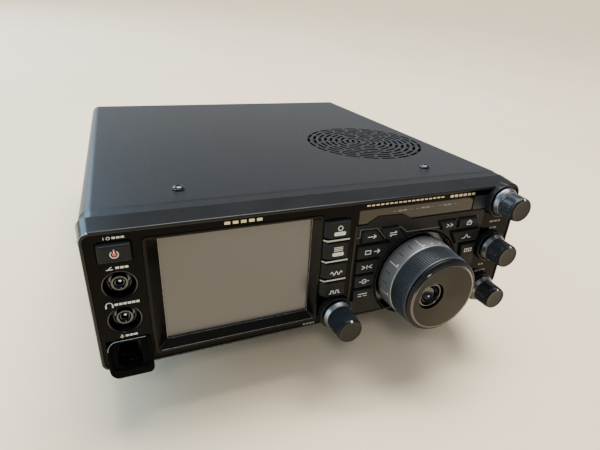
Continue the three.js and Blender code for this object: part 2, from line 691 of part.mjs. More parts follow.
function rearSockets() {
  const outside = rearFace;
  for (const name of ["antenna_socket_hf", "antenna_socket_vhf"]) {
    const { x, z } = portAt(name);
    const flange = box(x - 12.7, x + 12.7, outside + gap, outside + 2.3, z - 12.7, z + 12.7);
    const barrel = rodY(x, z, 236, outside + 16, 7.9, 7.7, 24);
    const recess = rodY(x, z, outside + 10, outside + 17, 5.9, 5.9, 16);
    const contact = rodY(x, z, outside + 6, outside + 17, 1.9, 1.9, 10);
    place(name, without(flange.add(barrel), [recess, contact]), nickel);
  }
  const ground = portAt("ground_terminal");
  const stud = rodY(ground.x, ground.z, 240, outside + 13, 2, 2, 16);
  const nut = rodY(ground.x, ground.z, outside + gap, outside + 6, 5, 5, 6);
  place("ground_terminal", stud.add(nut), brass);

  const power = portAt("power_inlet");
  const shroud = box(power.x - 10, power.x + 10, 235, outside + 6, power.z - 9, power.z + 9);
  const well = box(power.x - 8, power.x + 8, 240, outside + 7, power.z - 7, power.z + 7);
  const pins = [];
  for (const sx of [-1, 1]) {
    for (const sz of [-1, 1]) {
      pins.push(rodY(power.x + sx * 5, power.z + sz * 3.6, 239.5, outside + 4, 1.1, 1.1, 10));
    }
  }
  place("power_inlet", joined([shroud.subtract(well), ...pins]), socketBlack);

  const serial = portAt("serial_socket");
  const dShape = (half, height) => [
    [serial.x - half + 1.6, serial.z - height],
    [serial.x + half - 1.6, serial.z - height],
    [serial.x + half, serial.z + height],
    [serial.x - half, serial.z + height],
  ];
  const earX = 15.4;
  const earZ = 6.2;
  const ear = box(
    serial.x - earX, serial.x + earX, outside + gap, outside + 1.3, serial.z - earZ, serial.z + earZ,
  );
  const shell = prism(dShape(8.7, 4.5), 236, outside + 6);
  place("serial_socket", ear.add(shell), nickel);

  const usb = portAt("usb_socket");
  const usbShell = box(usb.x - 6, usb.x + 6, 234, outside + 1, usb.z - 6, usb.z + 6);
  const usbWell = box(usb.x - 4.2, usb.x + 4.2, 238, outside + 2, usb.z - 4, usb.z + 4);
  const tongue = box(usb.x - 2.8, usb.x + 2.8, 237.5, outside, usb.z - 1.6, usb.z + 1.6);
  place("usb_socket", usbShell.subtract(usbWell).add(tongue), nickel);

  for (const name of ["data_socket", "tuner_socket"]) {
    const { x, z } = portAt(name);
    const round = rodY(x, z, 235, outside + 1.2, 6.5, 6.5, 20);
    const well = rodY(x, z, outside - 2, outside + 2, 4.6, 4.6, 16);
    const core = rodY(x, z, outside - 3, outside - 0.4, 3.2, 3.2, 12);
    place(name, round.subtract(well).add(core), socketBlack);
  }
  const jack = portAt("speaker_jack");
  const nose = rodY(jack.x, jack.z, 236, outside + 1.6, 4.1, 4.1, 24);
  place("speaker_jack", nose.subtract(rodY(jack.x, jack.z, 240, outside + 2, 1.8, 1.8, 16)), socketBlack);
}

function coolingFan() {
  const { x, z, half, front, back, bore } = fan;
  const frame = roundedBox(x - half, x + half, front, back, z - half, z + half, 4);
  const tunnel = rodY(x, z, front - 1, back + 1, bore, bore, 28);
  const struts = [0, 1, 2].map((i) => {
    const strut = new THREE.BoxGeometry(58, 1.8, 3);
    strut.rotateY((i * Math.PI) / 3);
    strut.translate(x, front + 0.9, z);
    return solid(strut);
  });
  const seat = rodY(x, z, front, front + 2, 12, 12, 20);
  place("fan_housing", joined([frame.subtract(tunnel), ...struts, seat]), socketBlack);

  const hub = rodY(x, z, front + 2.6, back - 1.5, 12.5, 12.5, 20);
  const blades = [];
  for (let i = 0; i < 7; i++) {
    const blade = new THREE.BoxGeometry(16, 1.3, 12);
    blade.rotateX(THREE.MathUtils.degToRad(38));
    blade.translate(19, (front + back) / 2 + 0.6, 0);
    blade.rotateY((i * 2 * Math.PI) / 7);
    blade.translate(x, 0, z);
    blades.push(solid(blade));
  }
  const sweep = rodY(x, z, front + 2.6, back - 1.2, bore - 1, bore - 1, 28);
  place("fan_rotor", hub.add(joined(blades).intersect(sweep)), socketBlack);
}

// ---- Feet and bail ----
const groundSlope = Math.tan(tilt);
const groundAt = (y) => -footHeight - groundSlope * (rearFootY - y);

function feet() {
  for (const [side, name] of [[-1, "left"], [1, "right"]]) {
    const x = side * footX;
    // The rear foot is crowned: half of it is flat for level use, half for use on the bail.
    const rear = rodZ(x, rearFootY, -footHeight, -gap, footRadius, footRadius + 1, 20);
    const crown = new THREE.BoxGeometry(30, 60, 20);
    crown.translate(0, 0, -10);
    crown.rotateX(tilt);
    crown.translate(x, rearFootY, -footHeight);
    place("rear_foot_" + name, rear.subtract(solid(crown)), footRubber);

    const front = rodZ(x, frontFootY, -footHeight, -gap, footRadius, footRadius + 1, 20);
    const boreEnds = [side * (bailLegX - 3), side * (bailEndX + 0.6)];
    const bore = rodX(
      Math.min(...boreEnds), Math.max(...boreEnds), frontFootY, bailPivotZ, wireRadius + gap,
    );
    // A lug in front of the leg stops the bail when it is folded out.
    const lugEnds = [side * (bailLegX - 2.5), side * 82];
    const lugY = frontFootY - 10;
    const lug = box(
      Math.min(...lugEnds), Math.max(...lugEnds), lugY, lugY + 5.3, 0.4 - footHeight, -gap,
    );
    place("front_foot_" + name, front.add(lug).subtract(bore), footRubber);
  }
}

function bail() {
  const barZ = groundAt(bailBarY) + wireRadius / Math.cos(tilt);
  const pivot = (x) => new THREE.Vector3(x, frontFootY, bailPivotZ);
  const bar = (x) => new THREE.Vector3(x, bailBarY, barZ);
  const corners = [
    pivot(-bailEndX),
    pivot(-bailLegX),
    bar(-bailLegX),
    bar(bailLegX),
    pivot(bailLegX),
    pivot(bailEndX),
  ];
  const bends = [0, 3, 7, 7, 3, 0];
  const path = new THREE.CurvePath();
  let from = corners[0];
  for (let i = 1; i + 1 < corners.length; i++) {
    const back = corners[i - 1].clone().sub(corners[i]).setLength(bends[i]);
    const on = corners[i + 1].clone().sub(corners[i]).setLength(bends[i]);
    const start = corners[i].clone().add(back);
    const end = corners[i].clone().add(on);
    path.add(new THREE.LineCurve3(from, start));
    path.add(new THREE.QuadraticBezierCurve3(start, corners[i], end));
    from = end;
  }
  path.add(new THREE.LineCurve3(from, corners[corners.length - 1]));
  const rim = arc(0, 0, wireRadius, 22.5, 337.5, 7).map(([x, z]) => new THREE.Vector2(x, z));
  const section = new THREE.Shape(rim);
  const wire = new THREE.ExtrudeGeometry(section, { steps: 42, extrudePath: path });
  place("bail_stand", solid(wire), nickel);
}

topCover();
bottomCover();
chassis();
coverScrews();
rearHeatsink();
frontFrame();
frontFascia();
controlPanel();
display();
indicatorWindow();
microphone();
jacks();
keyCaps();
tuningDial();
knobs();
frontBoard();
mainBoard();
amplifierBoard();
loudspeaker();
rearSockets();
coolingFan();
feet();
bail();

// ---- Standing on the desk ----
cabinet.rotation.x = -tilt;
const transceiver = new THREE.Group();
transceiver.add(cabinet);
transceiver.updateMatrixWorld(true);
const reach = new THREE.Box3().setFromObject(transceiver, true);
cabinet.position.set(
  -(reach.min.x + reach.max.x) / 2,
  -(reach.min.y + reach.max.y) / 2,
  -reach.min.z,
);

export default transceiver;
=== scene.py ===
"""The looks of a desk-top radio transceiver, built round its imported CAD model.

Shapes are written in millimetres in the cabinet's own frame: x to the right, y into the cabinet from
its face, z up. The cabinet leans back on its bail, so CABINET carries that frame to the shared one.
"""

import json
import math
from types import SimpleNamespace

import bmesh
import bpy
from mathutils import Matrix, Vector


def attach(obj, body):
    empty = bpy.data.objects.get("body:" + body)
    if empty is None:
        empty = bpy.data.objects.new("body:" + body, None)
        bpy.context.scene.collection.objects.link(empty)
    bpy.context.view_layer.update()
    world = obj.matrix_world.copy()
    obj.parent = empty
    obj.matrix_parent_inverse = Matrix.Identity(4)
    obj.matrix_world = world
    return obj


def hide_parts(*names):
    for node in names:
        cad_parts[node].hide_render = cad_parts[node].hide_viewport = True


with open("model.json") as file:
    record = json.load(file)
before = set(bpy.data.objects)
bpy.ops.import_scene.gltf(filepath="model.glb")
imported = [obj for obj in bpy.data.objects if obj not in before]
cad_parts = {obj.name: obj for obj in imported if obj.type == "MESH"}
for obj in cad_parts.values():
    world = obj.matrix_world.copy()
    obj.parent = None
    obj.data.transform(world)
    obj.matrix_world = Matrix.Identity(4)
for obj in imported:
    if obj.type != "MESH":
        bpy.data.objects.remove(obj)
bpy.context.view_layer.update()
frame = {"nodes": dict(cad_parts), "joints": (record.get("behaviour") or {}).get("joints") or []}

# ---- The cabinet's frame, from the tuning dial's joint ----
MM = 0.001
DIAL_X, DIAL_Z = 50.0, 22.0
joints = {joint["name"]: joint for joint in frame["joints"]}
outward = Vector(joints["dial_turn"]["axis"]).normalized()
rightward = Vector((1, 0, 0))
inward = -outward
upward = rightward.cross(inward)
corner = Vector(joints["dial_turn"]["pos_m"]) - rightward * DIAL_X * MM - upward * DIAL_Z * MM
CABINET = Matrix.Translation(corner) @ Matrix((rightward, inward, upward)).transposed().to_4x4()
TO_CABINET = CABINET.inverted()


def cabinet_points(node):
    return [TO_CABINET @ v.co / MM for v in frame["nodes"][node].data.vertices]


def span(node):
    """The node's box in the cabinet's frame, in millimetres."""
    points = cabinet_points(node)
    low = [min(p[i] for p in points) for i in range(3)]
    high = [max(p[i] for p in points) for i in range(3)]
    return SimpleNamespace(
        x0=low[0], x1=high[0], y0=low[1], y1=high[1], z0=low[2], z1=high[2],
        x=(low[0] + high[0]) / 2, z=(low[2] + high[2]) / 2,
    )


def axis_of(box):
    return (box.x, box.z)


def ring_at(node, depth):
    """The node's convex outline at one depth, counter-clockwise seen from the front."""
    found = {(round(p.x, 2), round(p.z, 2)) for p in cabinet_points(node) if abs(p.y - depth) < 0.05}
    cx = sum(x for x, _ in found) / len(found)
    cz = sum(z for _, z in found) / len(found)
    return sorted(found, key=lambda p: math.atan2(p[1] - cz, p[0] - cx))


# ---- Outlines ----
SHARPEST = 0.02     # the smallest corner radius
AXIS_RADIUS = 1e-3  # stands for zero on a turned body's axis


def rect(x0, x1, z0, z1):
    return [(x0, z0), (x1, z0), (x1, z1), (x0, z1)]


def around(box, margin=0.0):
    return rect(box.x0 - margin, box.x1 + margin, box.z0 - margin, box.z1 + margin)


def offset(corners, amount):
    """Every edge of a counter-clockwise outline moved outward by amount."""
    moved = []
    for i, point in enumerate(corners):
        here = Vector(point)
        before = (here - Vector(corners[i - 1])).normalized()
        after = (Vector(corners[(i + 1) % len(corners)]) - here).normalized()
        first = Vector((before.y, -before.x))
        second = Vector((after.y, -after.x))
        moved.append(tuple(here + (first + second) * amount / (1 + first.dot(second))))
    return moved


def fillet(corners, radius, steps=5):
    """The outline with its corners rounded; radius is one number or one for each corner."""
    radii = radius if isinstance(radius, list) else [radius] * len(corners)
    points = []
    for i, point in enumerate(corners):
        here = Vector(point)
        back = (Vector(corners[i - 1]) - here).normalized()
        ahead = (Vector(corners[(i + 1) % len(corners)]) - here).normalized()
        half = back.angle(ahead) / 2
        size = max(radii[i], SHARPEST)
        centre = here + (back + ahead).normalized() * size / math.sin(half)
        start = here + back * size / math.tan(half) - centre
        turn = 1 if back.x * ahead.y - back.y * ahead.x < 0 else -1
        for k in range(steps + 1):
            spin = Matrix.Rotation(turn * (math.pi - 2 * half) * k / steps, 2)
            points.append(tuple(centre + spin @ start))
    return points


def placed(outline, y):
    """The points of an (x, z) outline at one depth."""
    return [(x, y, z) for x, z in outline]


def circle(cx, cz, radius, sides, start=0.0, sweep=360.0):
    count = sides if sweep >= 360 else sides + 1
    angles = [math.radians(start + sweep * i / sides) for i in range(count)]
    return [(cx + radius * math.cos(a), cz + radius * math.sin(a)) for a in angles]


# ---- Meshes ----
def shell_volume(points, faces):
    """The signed volume inside a closed shell."""
    total = 0.0
    for face in faces:
        a = Vector(points[face[0]])
        for i in range(1, len(face) - 1):
            total += a.dot(Vector(points[face[i]]).cross(Vector(points[face[i + 1]])))
    return total / 6


class Form:
    """A mesh in the making, out of closed shells."""

    def __init__(self):
        self.points, self.faces = [], []

    def add(self, points, faces):
        """Adds one closed shell, turned so that its faces look outward."""
        if shell_volume(points, faces) < 0:
            faces = [face[::-1] for face in faces]
        base = len(self.points)
        self.points += [tuple(p) for p in points]
        self.faces += [[base + i for i in face] for face in faces]
        return self

    def loft(self, rings, looped=False):
        """A shell through rings of equal counts, capped at both ends unless it is looped."""
        count = len(rings[0])
        faces = []
        spans = len(rings) if looped else len(rings) - 1
        for s in range(spans):
            t = (s + 1) % len(rings)
            for i in range(count):
                j = (i + 1) % count
                faces.append([s * count + i, s * count + j, t * count + j, t * count + i])
        if not looped:
            last = (len(rings) - 1) * count
            faces.append(list(range(count))[::-1])
            faces.append([last + i for i in range(count)])
        return self.add([p for ring in rings for p in ring], faces)

    def slab(self, corners, radius, front, back, edge=0.3, steps=5):
        """A plate facing the front, with a rounded front edge."""
        rings = []
        for inset, y in rounded_profile(front, edge) + [(0, back)]:
            radii = [r - inset for r in radius] if isinstance(radius, list) else radius - inset
            rings.append(placed(fillet(offset(corners, -inset), radii, steps), y))
        return self.loft(rings)

    def lathe(self, profile, sides=96, centre=(0, 0), looped=False):
        """A body turned about an axis along y, from (radius, y) points."""
        return self.loft([placed(circle(*centre, max(r, AXIS_RADIUS), sides), y) for r, y in profile], looped)

    def ribbed(self, profile, count, depth, centre):
        """A turned body from (radius, y, is ribbed) points, with two low points in four where it is ribbed."""
        cx, cz = centre
        rings = []
        for radius, y, is_ribbed in profile:
            ring = []
            for i in range(count * 4):
                angle = 2 * math.pi * i / (count * 4)
                size = max(radius, AXIS_RADIUS) - (depth if is_ribbed and i % 4 in (0, 3) else 0)
                ring.append((cx + size * math.cos(angle), y, cz + size * math.sin(angle)))
            rings.append(ring)
        return self.loft(rings, looped=profile[0][0] > 0)

    def box(self, x0, x1, y0, y1, z0, z1):
        return self.loft([placed(rect(x0, x1, z0, z1), y) for y in (y0, y1)])

    def tube(self, path, radius, sides, looped=False):
        """A round bar along a path of points."""
        points = [Vector(p) for p in path]
        rings = []
        side = None
        for i, here in enumerate(points):
            ahead = points[(i + 1) % len(points)] if looped or i + 1 < len(points) else here
            back = points[i - 1] if looped or i else here
            along = (ahead - back).normalized()
            if side is None:
                side = along.orthogonal().normalized()
            side = (side - along * side.dot(along)).normalized()
            other = along.cross(side)
            ring = []
            for k in range(sides):
                angle = 2 * math.pi * k / sides
                ring.append(here + radius * (side * math.cos(angle) + other * math.sin(angle)))
            rings.append(ring)
        return self.loft(rings, looped)

    def strip(self, path, width, top, bottom, looped=False):
        """A flat printed line along a path of (x, z) points, from depth top to depth bottom."""
        points = [Vector(p) for p in path]
        count = len(points)
        rings = []
        for i, here in enumerate(points):
            ahead = points[(i + 1) % count] - here if looped or i + 1 < count else here - points[i - 1]
            back = here - points[i - 1] if looped or i else ahead
            ahead, back = ahead.normalized(), back.normalized()
            first, second = Vector((ahead.y, -ahead.x)), Vector((back.y, -back.x))
            reach = (first + second) * (width / 2) / max(0.4, 1 + first.dot(second))
            a, b = here + reach, here - reach
            rings.append([(a.x, top, a.y), (b.x, top, b.y), (b.x, bottom, b.y), (a.x, bottom, a.y)])
        return self.loft(rings, looped)

    def turn(self, angle, axis):
        """Turns everything made so far about the origin, by an angle in degrees."""
        spin = Matrix.Rotation(math.radians(angle), 3, axis)
        self.points = [tuple(spin @ Vector(p)) for p in self.points]
        return self

    def shift(self, x=0, y=0, z=0):
        self.points = [(px + x, py + y, pz + z) for px, py, pz in self.points]
        return self

    def join(self, other):
        return self.add(other.points, other.faces)


def rounded_profile(front, edge, rounds=3):
    """(inset, depth) points of a quarter-round edge that starts on the front face."""
    angles = [math.pi / 2 * k / rounds for k in range(rounds + 1)]
    return [(edge * (1 - math.sin(a)), front + edge * (1 - math.cos(a))) for a in angles]


def mesh_object(name, form, origin):
    mesh = bpy.data.meshes.new(name)
    shift = Vector(origin)
    mesh.from_pydata([(Vector(p) - shift) * MM for p in form.points], [], form.faces)
    built = bmesh.new()
    built.from_mesh(mesh)
    bmesh.ops.remove_doubles(built, verts=built.verts, dist=1e-7)
    built.to_mesh(mesh)
    built.free()
    obj = bpy.data.objects.new(name, mesh)
    bpy.context.scene.collection.objects.link(obj)
    obj.matrix_world = CABINET @ Matrix.Translation(shift * MM)
    bpy.context.view_layer.update()
    return obj


def apply_modifiers(obj):
    graph = bpy.context.evaluated_depsgraph_get()
    made = bpy.data.meshes.new_from_object(obj.evaluated_get(graph), depsgraph=graph)
    obj.modifiers.clear()
    old = obj.data
    obj.data = made
    bpy.data.meshes.remove(old)


def make(name, form, paint, body="cabinet", node=None, origin=(0, 0, 0), plus=(), minus=(),
         bevel=0.0, segments=2, sharp=32):
    """One finished piece: joined, cut, with its edges eased, riding on its body."""
    obj = mesh_object(name, form, origin)
    obj.data.materials.append(paint)
    tools = []
    for operation, shapes in (("UNION", plus), ("DIFFERENCE", minus)):
        for i, shape in enumerate(shapes):
            tool = mesh_object(f"{name}_{operation}_{i}", shape, origin)
            tool.data.materials.append(paint)
            tools.append(tool)
            modifier = obj.modifiers.new("cut", "BOOLEAN")
            modifier.operation = operation
            modifier.object = tool
            modifier.solver = "EXACT"
    if bevel:
        modifier = obj.modifiers.new("ease", "BEVEL")
        modifier.width = bevel * MM
        modifier.segments = segments
        modifier.limit_method = "ANGLE"
        modifier.angle_limit = math.radians(sharp + 6)
        modifier.use_clamp_overlap = True
        modifier.miter_outer = "MITER_ARC"
    apply_modifiers(obj)
    for tool in tools:
        bpy.data.objects.remove(tool)
    for polygon in obj.data.polygons:
        polygon.use_smooth = True
    obj.data.set_sharp_from_angle(angle=math.radians(sharp))
    modifier = obj.modifiers.new("even_shade", "WEIGHTED_NORMAL")
    modifier.keep_sharp = True
    apply_modifiers(obj)
    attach(obj, body)
    if node:
        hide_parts(node)


# ---- Materials ----
NOISE_LOW, NOISE_HIGH = 0.3, 0.7  # the part of a noise's range that is spread over a colour or a roughness


class Paint:
    """A procedural material in the making, with shorthand for its nodes."""

    def __init__(self, name, metallic=0.0, specular=0.5, coat=0.0, coat_roughness=0.05):
        self.material = bpy.data.materials.new(name)
        self.material.use_nodes = True
        self.tree = self.material.node_tree
        self.surface = self.tree.nodes["Principled BSDF"]
        self.surface.inputs["Metallic"].default_value = metallic
        self.surface.inputs["Specular IOR Level"].default_value = specular
        self.surface.inputs["Coat Weight"].default_value = coat
        self.surface.inputs["Coat Roughness"].default_value = coat_roughness
        self.place = self.add("ShaderNodeTexCoord").outputs["Object"]

    def add(self, kind, **settings):
        node = self.tree.nodes.new(kind)
        for name, value in settings.items():
            setattr(node, name, value)
        return node

    def link(self, source, target):
        self.tree.links.new(source, target)

    def noise(self, per_mm, detail=3.0, stretch=None, rough=0.55):
        """A noise pattern's value; per_mm is its scale, and stretch its scale along x, y and z."""
        source = self.place
        if stretch:
            mapping = self.add("ShaderNodeMapping")
            mapping.inputs["Scale"].default_value = stretch
            self.link(source, mapping.inputs["Vector"])
            source = mapping.outputs["Vector"]
        node = self.add("ShaderNodeTexNoise")
        node.inputs["Scale"].default_value = per_mm / MM
        node.inputs["Detail"].default_value = detail
        node.inputs["Roughness"].default_value = rough
        self.link(source, node.inputs["Vector"])
        return node.outputs["Fac"]

    def radius(self):
        """The distance from the piece's own turning axis, in metres."""
        parts = self.add("ShaderNodeSeparateXYZ")
        self.link(self.place, parts.inputs["Vector"])
        flat = self.add("ShaderNodeCombineXYZ")
        self.link(parts.outputs["X"], flat.inputs["X"])
        self.link(parts.outputs["Z"], flat.inputs["Z"])
        length = self.add("ShaderNodeVectorMath", operation="LENGTH")
        self.link(flat.outputs["Vector"], length.inputs[0])
        return length.outputs["Value"]

    def rings(self, per_mm, detail=2.0):
        """A noise that only changes with the distance from the piece's axis, as turning leaves."""
        flat = self.add("ShaderNodeCombineXYZ")
        self.link(self.radius(), flat.inputs["X"])
        node = self.add("ShaderNodeTexNoise")
        node.inputs["Scale"].default_value = per_mm / MM
        node.inputs["Detail"].default_value = detail
        self.link(flat.outputs["Vector"], node.inputs["Vector"])
        return node.outputs["Fac"]

    def rough(self, value, low, high):
        node = self.add("ShaderNodeMapRange")
        node.inputs["From Min"].default_value = NOISE_LOW
        node.inputs["From Max"].default_value = NOISE_HIGH
        node.inputs["To Min"].default_value = low
        node.inputs["To Max"].default_value = high
        self.link(value, node.inputs["Value"])
        self.link(node.outputs["Result"], self.surface.inputs["Roughness"])

    def color(self, value, dark, light, from_low=NOISE_LOW, from_high=NOISE_HIGH):
        node = self.add("ShaderNodeValToRGB")
        node.color_ramp.elements[0].position = from_low
        node.color_ramp.elements[1].position = from_high
        node.color_ramp.elements[0].color = (*dark, 1)
        node.color_ramp.elements[1].color = (*light, 1)
        self.link(value, node.inputs["Fac"])
        self.link(node.outputs["Color"], self.surface.inputs["Base Color"])

    def bump(self, value, height, strength):
        """height is in millimetres."""
        node = self.add("ShaderNodeBump")
        node.inputs["Strength"].default_value = strength
        node.inputs["Distance"].default_value = height * MM
        self.link(value, node.inputs["Height"])
        self.link(node.outputs["Normal"], self.surface.inputs["Normal"])


def moulded(name, dark, light, rough, grain, height, specular=0.3):
    """Satin or matt moulded plastic: a fine grain, with faint handling marks."""
    paint = Paint(name, specular=specular)
    paint.color(paint.noise(0.035, 5), dark, light)
    paint.rough(paint.noise(0.06, 6), *rough)
    paint.bump(paint.noise(grain, 2), height, 0.35)
    return paint.material


def glossy(name, dark, light, rough=(0.06, 0.16), specular=0.2, **settings):
    """Polished plastic: a faint long-wave ripple, with smudges in its roughness."""
    paint = Paint(name, specular=specular, **settings)
    paint.color(paint.noise(0.03, 4), dark, light)
    paint.rough(paint.noise(0.05, 7, rough=0.7), *rough)
    paint.bump(paint.noise(0.08, 2), 0.02, 0.15)
    return paint.material


def textured_paint(name, dark, light, rough, grain, height):
    """Powder coat on sheet metal: an orange-peel grain with fine speckles."""
    paint = Paint(name, specular=0.35)
    speckle = paint.noise(grain, 3, rough=0.65)
    paint.color(paint.noise(grain * 0.9, 4), dark, light, 0.35, 0.65)
    paint.rough(paint.noise(0.5, 4), *rough)
    paint.bump(speckle, height, 0.5)
    return paint.material


def metal(name, dark, light, rough, stretch=(1, 1, 1), grain=1.2, height=0.01, metallic=1.0):
    """Metal with a grain along its rubbing direction."""
    paint = Paint(name, metallic=metallic)
    paint.color(paint.noise(grain, 4, stretch), dark, light)
    paint.rough(paint.noise(grain * 0.7, 5, stretch), *rough)
    paint.bump(paint.noise(grain * 1.6, 3, stretch), height, 0.4)
    return paint.material


def spun(name, dark, light, rough, anisotropic, metallic=1.0):
    """Metal with turning marks round the piece's own axis."""
    paint = Paint(name, metallic=metallic)
    paint.color(paint.rings(3.0, 2), dark, light)
    paint.rough(paint.rings(1.4, 3), *rough)
    paint.bump(paint.rings(8.0, 1), 0.002, 0.3)
    paint.surface.inputs["Anisotropic"].default_value = anisotropic
    tangent = paint.add("ShaderNodeTangent", direction_type="RADIAL", axis="Y")
    paint.link(tangent.outputs["Tangent"], paint.surface.inputs["Tangent"])
    return paint.material


def printed(name, dark, light):
    """Screen-printed ink, slightly uneven."""
    paint = Paint(name, specular=0.4)
    paint.color(paint.noise(1.5, 3), dark, light)
    paint.rough(paint.noise(0.8, 3), 0.4, 0.55)
    return paint.material


COVER = textured_paint("cover_powder_coat", (0.0045, 0.0050, 0.0060), (0.0095, 0.0105, 0.0125), (0.36, 0.41),
                       1.3, 0.04)
FRAME = moulded("frame_satin", (0.0100, 0.0104, 0.0110), (0.0140, 0.0145, 0.0152), (0.20, 0.27),
                1.5, 0.005, 0.18)
FASCIA = glossy("fascia_gloss", (0.0008, 0.0008, 0.0011), (0.0016, 0.0016, 0.0020), (0.08, 0.15), 0.06)
PANEL = moulded("panel_satin", (0.0075, 0.0078, 0.0080), (0.0115, 0.0118, 0.0120), (0.34, 0.44),
                2.6, 0.012, 0.12)
KEY = moulded("key_plastic", (0.0085, 0.0098, 0.0112), (0.0125, 0.0148, 0.0170), (0.36, 0.46), 3.0, 0.010, 0.1)
KNOB = moulded("knob_satin_black", (0.0040, 0.0046, 0.0054), (0.0070, 0.0078, 0.0088), (0.22, 0.30),
               3.0, 0.004, 0.16)
# The knobs' ribs and the dial's grip are black plastic and rubber with a blue tint all round: the window
# light's reflection on their sides is painted into the colour.
RIBS = moulded("knob_rib_blue_sheen", (0.0075, 0.011, 0.015), (0.012, 0.017, 0.022), (0.2, 0.26), 2.5, 0.002, 0.5)
RIBBED = moulded("grip_rubber", (0.018, 0.024, 0.030), (0.026, 0.034, 0.041), (0.34, 0.42), 2.5, 0.01, 0.5)
CUP = glossy("cup_gloss", (0.0015, 0.0015, 0.002), (0.003, 0.003, 0.0035), (0.02, 0.06), specular=0.7, coat=0.6)
SKIRT = spun("dial_skirt_satin", (0.22, 0.223, 0.226), (0.30, 0.304, 0.308), (0.36, 0.44), 0.25, 0.66)
CAP = spun("dial_cap_spun", (0.024, 0.0235, 0.022), (0.029, 0.0285, 0.0265), (0.30, 0.36), 0.85)
RIM = spun("dial_rim_dark", (0.017, 0.017, 0.018), (0.023, 0.023, 0.024), (0.36, 0.46), 0.2)
SILVER = metal("silver_trim", (0.26, 0.27, 0.28), (0.34, 0.35, 0.36), (0.26, 0.36), (0.15, 1, 1))
POLISHED = spun("knob_ring_polished", (0.16, 0.17, 0.18), (0.22, 0.23, 0.24), (0.26, 0.34), 0.4)
NICKEL = metal("nickel_plate", (0.55, 0.53, 0.50), (0.68, 0.66, 0.62), (0.16, 0.28), (1, 1, 1), 0.4)
GOLD = metal("gold_contacts", (0.40, 0.28, 0.10), (0.52, 0.38, 0.16), (0.25, 0.35))
BRASS = metal("brass_plate", (0.50, 0.36, 0.14), (0.66, 0.48, 0.20), (0.22, 0.34), (1, 1, 1), 0.5)
ALLOY = metal("cast_alloy", (0.38, 0.39, 0.40), (0.50, 0.51, 0.52), (0.45, 0.6), (1, 1, 1), 0.9, 0.05)
SCREW = metal("black_oxide", (0.06, 0.062, 0.066), (0.11, 0.113, 0.118), (0.24, 0.36), (1, 1, 1), 1.0)
HEATSINK = textured_paint("heatsink_black", (0.010, 0.0105, 0.011), (0.019, 0.0195, 0.021), (0.42, 0.55),
                          1.1, 0.06)
SOCKET = moulded("socket_black", (0.005, 0.005, 0.0055), (0.009, 0.009, 0.0095), (0.34, 0.46), 2.0, 0.02)
MODULE = moulded("module_grey", (0.05, 0.05, 0.05), (0.08, 0.08, 0.08), (0.5, 0.6), 1.0, 0.02)
FOOT = moulded("foot_rubber", (0.008, 0.008, 0.008), (0.015, 0.015, 0.015), (0.65, 0.8), 1.6, 0.06)
CONE = moulded("speaker_paper", (0.012, 0.012, 0.012), (0.024, 0.023, 0.022), (0.8, 0.95), 0.8, 0.15)
INK = printed("white_print", (0.56, 0.57, 0.57), (0.74, 0.74, 0.73))
DIM_INK = printed("grey_print", (0.13, 0.135, 0.135), (0.20, 0.205, 0.205))
GILT = metal("nameplate_gilt", (0.42, 0.38, 0.27), (0.56, 0.51, 0.38), (0.3, 0.42), (0.2, 1, 1))
ENGRAVED = printed("engraved_dark", (0.008, 0.008, 0.009), (0.02, 0.02, 0.021))


def screen_glass():
    """A hazy touch panel over an unlit display: a grey that shifts a little across it."""
    paint = Paint("touch_screen", specular=0.5, coat=0.35, coat_roughness=0.12)
    paint.color(paint.noise(0.009, 1), (0.070, 0.070, 0.068), (0.100, 0.100, 0.096), 0.3, 0.7)
    paint.rough(paint.noise(0.012, 1), 0.24, 0.30)
    return paint.material


def smoked_window():
    paint = Paint("smoked_window", specular=0.3, coat=0.2, coat_roughness=0.04)
    paint.color(paint.noise(0.03, 3), (0.010, 0.0075, 0.0045), (0.017, 0.0125, 0.008))
    paint.rough(paint.noise(0.05, 6), 0.08, 0.18)
    paint.bump(paint.noise(0.1, 2), 0.01, 0.15)
    return paint.material


def solder_resist():
    """A green board with traces: stretched noise cut into thin lines."""
    paint = Paint("circuit_board", specular=0.5)
    traces = paint.noise(0.25, 1, (0.3, 3.0, 3.0))
    paint.color(traces, (0.008, 0.050, 0.022), (0.020, 0.105, 0.050), 0.48, 0.52)
    paint.rough(paint.noise(0.4, 4), 0.3, 0.5)
    paint.bump(traces, 0.03, 0.3)
    return paint.material


def lamp_ink():
    paint = Paint("power_lamp", specular=0.4)
    paint.color(paint.noise(2.0, 2), (0.45, 0.05, 0.04), (0.60, 0.10, 0.08))
    paint.rough(paint.noise(1.0, 2), 0.35, 0.5)
    paint.surface.inputs["Emission Color"].default_value = (1.0, 0.12, 0.08, 1)
    paint.surface.inputs["Emission Strength"].default_value = 0.12
    return paint.material


GLASS = screen_glass()
SMOKED = smoked_window()
BOARD = solder_resist()
LAMP = lamp_ink()
HOOD = glossy("mic_hood_gloss", (0.0025, 0.0020, 0.0015), (0.0050, 0.0040, 0.0030), (0.12, 0.2), specular=0.05)
RIDGE = glossy("panel_ridge", (0.010, 0.008, 0.006), (0.016, 0.013, 0.010), (0.25, 0.35), specular=0.2)
NAVY = moulded("panel_shoulder", (0.007, 0.012, 0.020), (0.012, 0.018, 0.028), (0.3, 0.4), 2.5, 0.03)
# Painted highlight: bright metal for thin pieces laid along edges, standing for the light those edges catch.
EDGE_HIGHLIGHT = metal("painted_edge_highlight", (0.50, 0.51, 0.52), (0.64, 0.65, 0.66), (0.25, 0.35), (1, 1, 1), 0.25)
